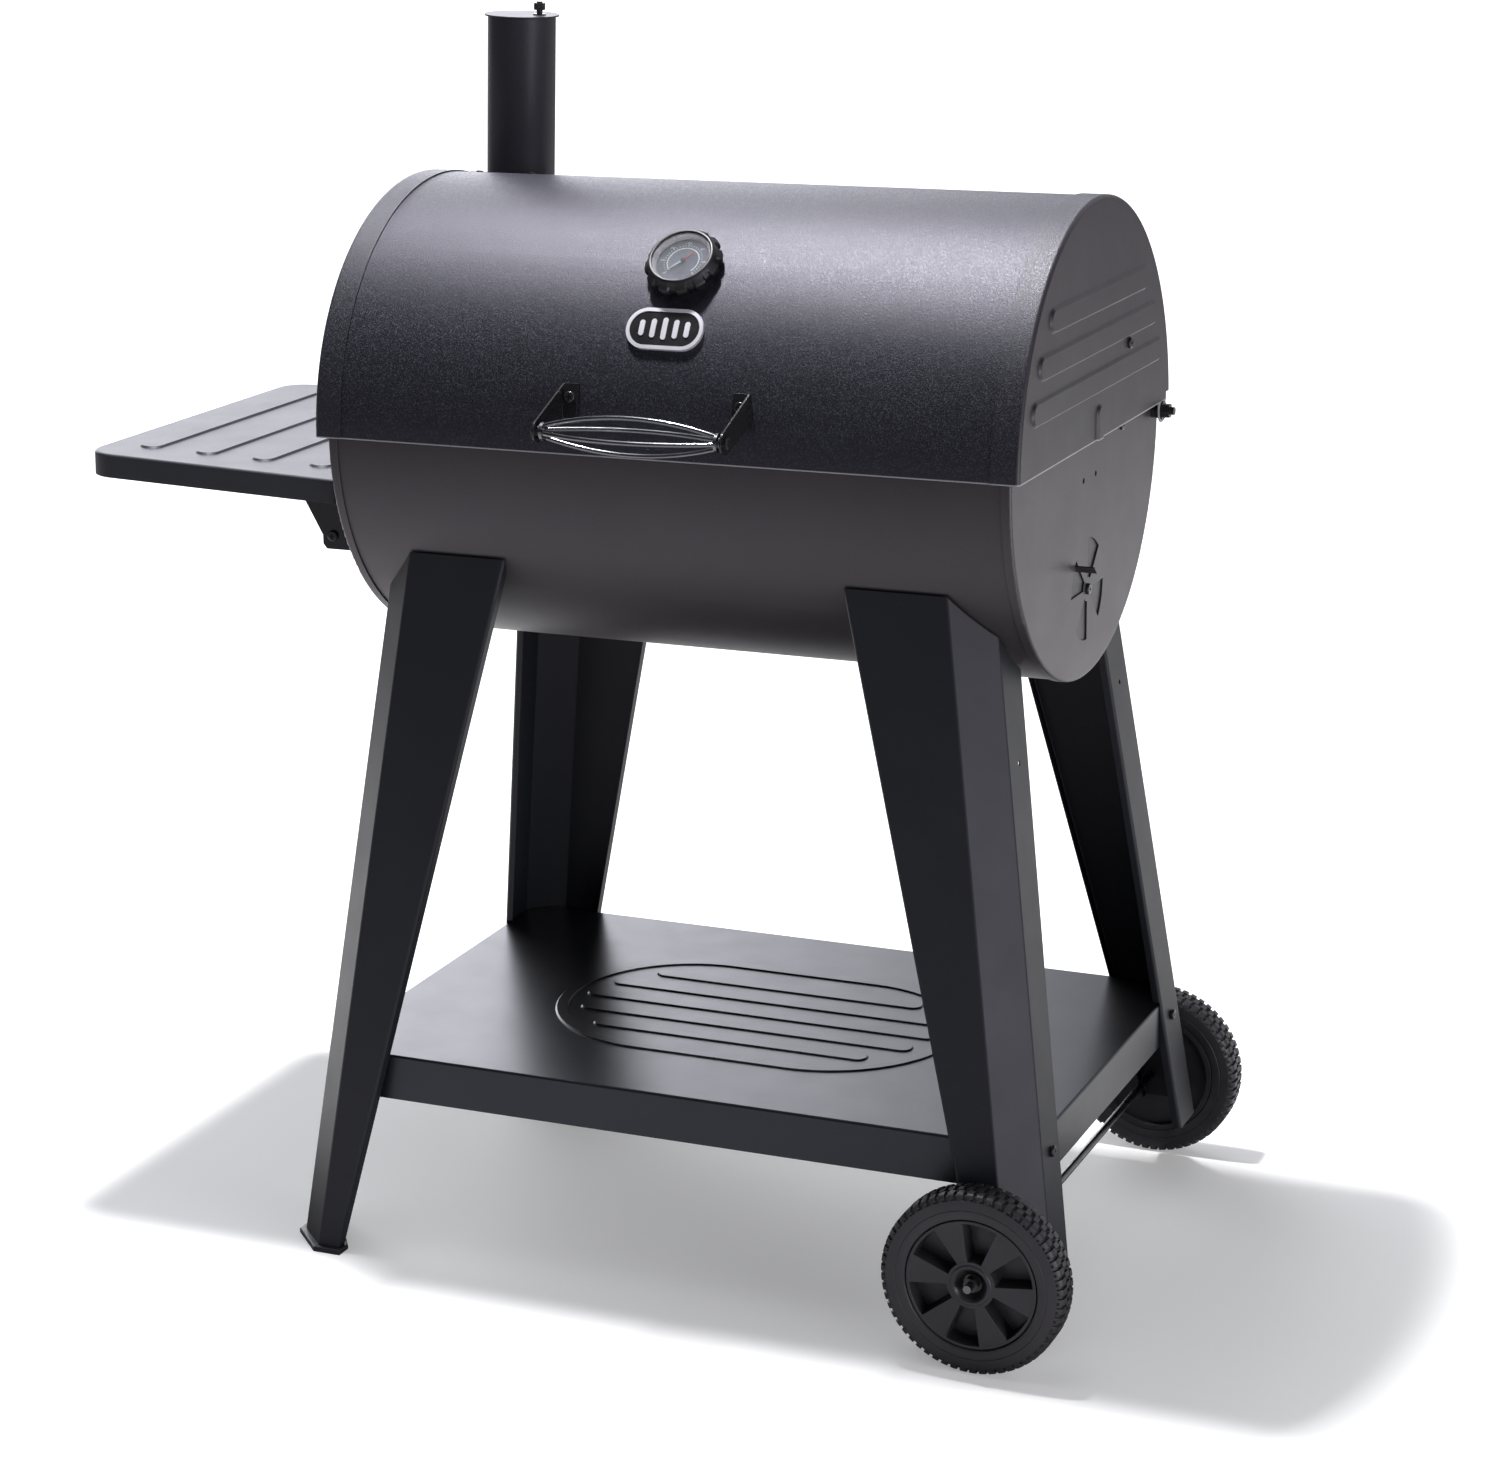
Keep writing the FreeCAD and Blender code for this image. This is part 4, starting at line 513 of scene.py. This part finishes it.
def pocket_columns(radius):
    """Angles (radians from a pocket's middle) and pocket shares for one sixth of the rim at this radius."""
    near, far = POCKET_RADII
    share = clamp((radius - near) / (far - near))
    half = POCKET_HALF[0] + share * (POCKET_HALF[1] - POCKET_HALF[0])
    held = max(radius, near)
    edge = math.asin(half / held)
    bevel, floor_edge = edge - POCKET_BEVEL / held, edge - POCKET_WALL / held
    sector = math.pi / RIM_POCKETS
    side = [(edge, 0), (bevel, BEVEL_SHARE), (floor_edge, 1), (floor_edge * 0.66, 1), (floor_edge * 0.33, 1)]
    spoke = [(edge + (sector - edge) * step / SPOKE_STEPS, 0) for step in range(SPOKE_STEPS - 1, 0, -1)]
    half_turn = [(sector, 0)] + spoke + side
    return [(-a, p) for a, p in half_turn] + [(0.0, 1)] + [(a, p) for a, p in reversed(half_turn[1:])]


def rim(name, node, body, outward):
    """A moulded rim: drafted pockets, a dished hub in a raised ring, and a groove at the tyre."""
    low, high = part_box(node)
    centre = (low + high) / 2
    outer = (high.x - low.x) / 2
    face_low, face_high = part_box(node.replace("rim", "tyre"))
    face = face_high.y if outward > 0 else face_low.y
    width = face_high.y - face_low.y
    rows = []
    for radius, depth, share in rim_section(outer, width):
        row = []
        for sector in range(RIM_POCKETS):
            middle = math.radians(POCKET_PHASE) + 2 * math.pi * sector / RIM_POCKETS
            for turn, pocket in pocket_columns(radius):
                x = centre.x + radius * math.cos(middle + turn)
                y = face - outward * (depth + POCKET_DEPTH * min(share, pocket))
                row.append((x, y, centre.z + radius * math.sin(middle + turn)))
        rows.append(row)
    made = piece(name, grid_mesh(name, rows), body, "rim_plastic")
    sharpen(made, RIM_SHARP)
    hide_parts(node)


# ---- Thermometer --------------------------------------------------------------------------------------------
DIAL_LIFT = 0.0003        # the printed marks' base, above the dial's middle
# The scale: from lower left, clockwise, in degrees
SCALE_START = 225.0
SCALE_SWEEP = -270.0
TICKS = 30
TICKS_PER_FIGURE = 5
TICK_RADII = (0.0178, 0.0192)
LONG_TICK = 0.0012        # how much further the ticks at the figures reach
TICK_HALF = 0.9           # half a tick's width, in degrees
ARC_RADII = (0.0150, 0.0162)
ARC_STEPS = 90
PRINT_RISE = 0.00012      # how thick the print is
FIGURE_RADIUS = 0.0216
FIGURE_SIZE = 0.0030
FIGURE_LIFT = 0.0001
INNER_RING = ((0.0284, 0.0005), (0.0286, 0.0064), (0.0278, 0.0066), (0.0260, 0.0016), (0.0260, 0.0005))
INNER_RING_STEPS = 160
GRIP_STEPS = 240
GRIP_LUGS = 12
GRIP_DEPTH = 0.0030
GRIP_HOLLOW = (0.46, 0.14)        # half width of a hollow and of its soft side, as shares of half a lug
GRIP_TOP = (0.0052, 0.0016)       # where the hollows end, above the dial, and how softly
GRIP_INNER = 0.0325               # radius inside which the ring stays round
# The needle's parts: blades as (along, across), the hub as (radius, height)
POINTER = ((0.0, -0.0014), (0.0165, -0.0006), (0.0172, 0.0), (0.0165, 0.0006), (0.0, 0.0014))
POINTER_TAIL = ((-0.0002, -0.0009), (-0.0002, 0.0009), (-0.0125, 0.0005), (-0.0130, 0.0), (-0.0125, -0.0005))
BLADE_HEIGHTS = (-0.0002, 0.0003)
BLADE_TAPER = (0.985, 0.7)        # the top's length and width, as shares of the base's
HUB = (
    (0.0001, -0.0008), (0.0022, -0.0008), (0.0023, 0.0002),
    (0.0019, 0.0008), (0.0010, 0.0011), (0.0001, 0.0012),
)
HUB_STEPS = 32


def joint_of(name):
    return next(j for j in frame["joints"] if j["name"] == name)


class Dial:
    """The thermometer's own axes: right along the barrel, up the dial, and out of it."""

    def __init__(self):
        joint = joint_of("gauge_needle_turn")
        self.out = -Vector(joint["axis"]).normalized()
        self.right = Vector((1, 0, 0))
        self.up = self.out.cross(self.right)
        low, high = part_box("gauge_dial")
        self.centre = (low + high) / 2 + self.out * DIAL_LIFT
        low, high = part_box("gauge_bezel")
        self.radius = (high.x - low.x) / 2

    def at(self, x, y, height):
        return self.centre + self.right * x + self.up * y + self.out * height

    def polar(self, r, degrees, height):
        turn = math.radians(degrees)
        return self.at(r * math.cos(turn), r * math.sin(turn), height)


def turned(name, dial, profile, steps, reach=lambda turn, r, height: r):
    """A closed ring round the dial's axis: profile is (radius, height), and reach may change the radius."""
    rows = []
    for i in range(steps):
        degrees = 360.0 * i / steps
        rows.append([dial.polar(reach(degrees, r, h), degrees, h) for r, h in profile])
    return grid_mesh(name, rows)


def bezel(dial):
    """The grip ring: sloping shoulders, with lugs that stand out between smooth hollows."""
    outer = dial.radius
    profile = [
        (0.0302, -0.0066), (outer - 0.0022, -0.0062), (outer - 0.0006, -0.0052), (outer, -0.0034),
        (outer, -0.001), (outer, 0.0005), (outer - 0.0003, 0.0014), (outer - 0.0010, 0.0022),
        (outer - 0.0026, 0.0040), (outer - 0.0033, 0.0048), (outer - 0.0050, 0.0074), (0.0318, 0.0088),
        (0.0308, 0.0093), (0.0296, 0.0094), (0.0290, 0.0090), (0.0288, 0.0080), (0.0302, 0.0078),
    ]

    def reach(degrees, r, height):
        if r <= GRIP_INNER:
            return r
        phase = (degrees * GRIP_LUGS / 360.0) % 1.0
        edge = min(phase, 1 - phase) * 2
        hollow = clamp((GRIP_HOLLOW[0] - edge) / GRIP_HOLLOW[1])
        hollow = hollow * hollow * (3 - 2 * hollow)
        return r - GRIP_DEPTH * hollow * clamp((GRIP_TOP[0] - height) / GRIP_TOP[1])

    mesh = turned("gauge_bezel_ring", dial, profile, GRIP_STEPS, reach)
    made = piece("gauge_bezel_ring", mesh, "lid", "bezel_black")
    sharpen(made, RING_SHARP)
    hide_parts("gauge_bezel")


def dial_marks(dial):
    """A bright ring round the dial, a printed arc with ticks, and figures."""
    mesh = turned("gauge_inner_ring", dial, INNER_RING, INNER_RING_STEPS)
    made = piece("gauge_inner_ring", mesh, "lid", "gauge_steel")
    sharpen(made, RING_SHARP)
    bars = [(*ARC_RADII, SCALE_START + SCALE_SWEEP, SCALE_START, ARC_STEPS)]
    for i in range(TICKS + 1):
        degrees = SCALE_START + SCALE_SWEEP * i / TICKS
        inner, outer = TICK_RADII
        if i % TICKS_PER_FIGURE == 0:
            outer += LONG_TICK
        bars.append((inner, outer, degrees - TICK_HALF, degrees + TICK_HALF, 1))
    bm = bmesh.new()
    for inner, outer, first, last, steps in bars:
        outline = ((inner, 0.0), (inner, PRINT_RISE), (outer, PRINT_RISE), (outer, 0.0))
        edge = []
        for i in range(steps + 1):
            degrees = first + (last - first) * i / steps
            edge.append([bm.verts.new(dial.polar(r, degrees, h)) for r, h in outline])
        for a, b in zip(edge, edge[1:]):
            for j in range(4):
                bm.faces.new((a[j], a[(j + 1) % 4], b[(j + 1) % 4], b[j]))
        bm.faces.new(edge[0])
        bm.faces.new(edge[-1][::-1])
    piece("gauge_print", mesh_from(bm, "gauge_print"), "lid", "dial_white", smooth=False)
    steps = TICKS // TICKS_PER_FIGURE
    for i in range(steps + 1):
        figure(dial, str(100 + 100 * i), SCALE_START + SCALE_SWEEP * i / steps)


def figure(dial, text, degrees):
    """One of the dial's temperature figures, as a thin raised mesh."""
    curve = bpy.data.curves.new("figure", "FONT")
    curve.body = text
    curve.size = FIGURE_SIZE
    curve.align_x = "CENTER"
    curve.align_y = "CENTER"
    curve.extrude = PRINT_RISE / 2
    maker = add_object("figure", curve)
    bpy.context.view_layer.update()
    mesh = bpy.data.meshes.new_from_object(maker.evaluated_get(bpy.context.evaluated_depsgraph_get()))
    bpy.data.objects.remove(maker)
    place = Matrix((dial.right, dial.up, dial.out)).transposed().to_4x4()
    place.translation = dial.polar(FIGURE_RADIUS, degrees, FIGURE_LIFT)
    mesh.transform(place)
    piece("gauge_figure_" + text, mesh, "lid", "dial_white", smooth=False)


def needle(dial):
    """A white pointer with a red tail on a domed hub."""
    joint = joint_of("gauge_needle_turn")
    centre = Vector(joint["pos_m"])
    side, up, out = dial.right, dial.up, dial.out
    along = (-side - up).normalized()
    across = out.cross(along)

    def blade(name, points, slot):
        bm = bmesh.new()
        low, high = BLADE_HEIGHTS
        length, width = BLADE_TAPER
        base = [bm.verts.new(centre + along * a + across * b + out * low) for a, b in points]
        top = [bm.verts.new(centre + along * a * length + across * b * width + out * high) for a, b in points]
        bm.faces.new(base[::-1])
        bm.faces.new(top)
        for i in range(len(points)):
            j = (i + 1) % len(points)
            bm.faces.new((base[i], base[j], top[j], top[i]))
        return piece(name, mesh_from(bm, name), "needle", slot, smooth=False)

    pointer = blade("gauge_pointer", POINTER, "dial_white")
    blade("gauge_pointer_tail", POINTER_TAIL, "needle_paint")
    rows = []
    for i in range(HUB_STEPS):
        turn = 2 * math.pi * i / HUB_STEPS
        rows.append([centre + (side * math.cos(turn) + up * math.sin(turn)) * r + out * h for r, h in HUB])
    piece("gauge_hub", grid_mesh("gauge_hub", rows), "needle", "wire_chrome")
    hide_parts("gauge_needle")


# ---- Frame --------------------------------------------------------------------------------------------------
def dress_frame():
    """Give every CAD node the material of its slot."""
    slots = {s["node"]: s["material_slot"] for s in frame["record"]["subparts"]}
    for name, node in frame["nodes"].items():
        look = LOOKS[slots[name]]
        for holder in node.material_slots:
            holder.material = look


# ---- Studio -------------------------------------------------------------------------------------------------
SKY_BASE = 0.04
SKY_COLOUR = (0.93, 0.94, 1.0)
# Soft patches of light in the world: direction, where each starts and ends to rise (cosines), and brightness
SKY_PATCHES = (
    ((-0.65, 0.70, 0.27), 0.88, 0.98, 5.2),
    ((-0.20, 0.0, 0.98), 0.92, 0.99, 1.4),
    ((-0.26, -0.45, 0.85), 0.86, 0.98, 0.15),
    ((0.93, -0.35, 0.05), 0.80, 0.98, 1.5),
    ((0.30, 0.90, 0.32), 0.87, 0.98, 0.8),
    ((0.40, -0.87, 0.15), 0.75, 0.97, 0.3),
)
FLOOR_HALF = 30.0
FLOOR_GLOW = 0.26                 # light that fills the shadows
FLOOR_WHITENS = (1.2, 3.6)        # where the glow starts and ends to rise to white
FLOOR_BOUNCE = 0.47               # how much of the floor's paleness the object sees
# Pools of light on the floor, seen only in the object's faces: centre, where each fades, and level
FLOOR_POOLS = (
    ((1.5, 2.5, 0), (0.8, 2.7), 1.3),
    ((-1.7, 0.5, 0), (0.4, 1.6), 2.6),
    ((1.9, -0.7, 0), (0.2, 1.2), 0.5),
)
# Lights: name, place, target, size and power in watts
LIGHTS = (
    ("key", (-0.39, 0.106, 3.4), (-0.1, 0, 0), (0.25, 0.25), 188),
    ("side", (2.4, -1.0, 0.3), (0.3, 0, 0.4), (1.2, 0.6), 20),
)


def area_light(name, place, target, size, power):
    data = bpy.data.lights.new(name, "AREA")
    data.shape = "RECTANGLE"
    data.size, data.size_y = size
    data.energy = power
    light = add_object(name, data)
    light.location = place
    light.rotation_mode = "QUATERNION"
    light.rotation_quaternion = (Vector(target) - Vector(place)).to_track_quat("-Z", "Y")


def sky_patch(world, direction, start, end, level):
    """The brightness of one soft patch of light, as a socket."""
    along = world.node("ShaderNodeVectorMath", operation="DOT_PRODUCT")
    along.inputs[1].default_value = Vector(direction).normalized()
    world.link(world.node("ShaderNodeTexCoord").outputs["Generated"], along.inputs[0])
    return world.fade(along.outputs["Value"], start, end, 0.0, level, smooth=True)


def sky():
    """White to the eye; as a light, dim with a few soft bright patches."""
    studio_world = bpy.data.worlds.new("studio")
    studio_world.use_nodes = True
    world = Nodes(studio_world.node_tree)
    background = world.tree.nodes["Background"]
    glow = world.total([SKY_BASE] + [sky_patch(world, *patch) for patch in SKY_PATCHES])
    to_camera = world.node("ShaderNodeLightPath").outputs["Is Camera Ray"]
    world.link(world.mix(to_camera, glow, 1.0, "FLOAT"), background.inputs["Strength"])
    world.link(world.mix(to_camera, SKY_COLOUR, (1, 1, 1)), background.inputs["Color"])
    bpy.context.scene.world = studio_world


def floor_pool(paint, centre, reach, level):
    """The brightness of one pool of light on the floor, as a socket."""
    apart = paint.node("ShaderNodeVectorMath", operation="DISTANCE")
    apart.inputs[1].default_value = centre
    paint.link(paint.place, apart.inputs[0])
    return paint.fade(apart.outputs["Value"], *reach, level, 0.0, smooth=True)


def floor():
    """A pale floor that turns to pure white far away."""
    corners = [(x * FLOOR_HALF, y * FLOOR_HALF, 0) for x, y in ((-1, -1), (1, -1), (1, 1), (-1, 1))]
    mesh = bpy.data.meshes.new("floor")
    mesh.from_pydata(corners, [], [(0, 1, 2, 3)])
    ground = add_object("floor", mesh)
    paint = Paint("floor_paint", 0.9, Specular_IOR_Level=0.1)
    pale = paint.ramp(paint.noise(0.8, 2), (0.3, 0.84), (0.7, 0.86))
    to_camera = paint.node("ShaderNodeLightPath").outputs["Is Camera Ray"]
    paint.colour(paint.mix(to_camera, (FLOOR_BOUNCE,) * 3, pale))
    away = paint.node("ShaderNodeVectorMath", operation="LENGTH")
    paint.link(paint.place, away.inputs[0])
    glow = paint.fade(away.outputs["Value"], *FLOOR_WHITENS, FLOOR_GLOW, 1.0)
    pools = paint.total([floor_pool(paint, *pool) for pool in FLOOR_POOLS])
    paint.shader.inputs["Emission Color"].default_value = (1, 1, 1, 1)
    paint.link(paint.mix(to_camera, pools, glow, "FLOAT"), paint.shader.inputs["Emission Strength"])
    mesh.materials.append(paint.material)


def studio():
    """A pale floor, soft light all round, one small light overhead and a low one at the right."""
    sky()
    floor()
    for light in LIGHTS:
        area_light(*light)


# ---- Camera -------------------------------------------------------------------------------------------------
CAMERA_PLACE = (1.4637, -3.1846, 1.48525)
CAMERA_ANGLES = (23.186, 15.717, -0.821)      # turn to the right, tilt down and roll, in degrees
CAMERA_LENS = 84.95                           # mm, on a sensor of the next width
CAMERA_SENSOR = 36.0


def camera():
    """The viewpoint: right of the front, a little above the lid."""
    data = bpy.data.cameras.new("camera")
    data.sensor_width = CAMERA_SENSOR
    data.lens = CAMERA_LENS
    view = add_object("camera", data)
    turn, tilt, roll = (math.radians(angle) for angle in CAMERA_ANGLES)
    back = Vector((math.sin(turn) * math.cos(tilt), -math.cos(turn) * math.cos(tilt), math.sin(tilt)))
    right = Vector((math.cos(turn), math.sin(turn), 0))
    up = back.cross(right)
    rolled_right = right * math.cos(roll) + up * math.sin(roll)
    rolled_up = up * math.cos(roll) - right * math.sin(roll)
    axes = Matrix((rolled_right, rolled_up, back)).transposed()
    view.matrix_world = Matrix.Translation(CAMERA_PLACE) @ axes.to_4x4()
    bpy.context.scene.camera = view


dress_frame()
tyre("wheel_tyre_front_moulded", "wheel_tyre_front", "wheel_front", -1)
tyre("wheel_tyre_rear_moulded", "wheel_tyre_rear", "wheel_rear", 1)
rim("wheel_rim_front_moulded", "wheel_rim_front", "wheel_front", -1)
rim("wheel_rim_rear_moulded", "wheel_rim_rear", "wheel_rear", 1)
gauge_axes = Dial()
bezel(gauge_axes)
dial_marks(gauge_axes)
needle(gauge_axes)
studio()
camera()
bpy.context.scene.view_settings.view_transform = "Standard"
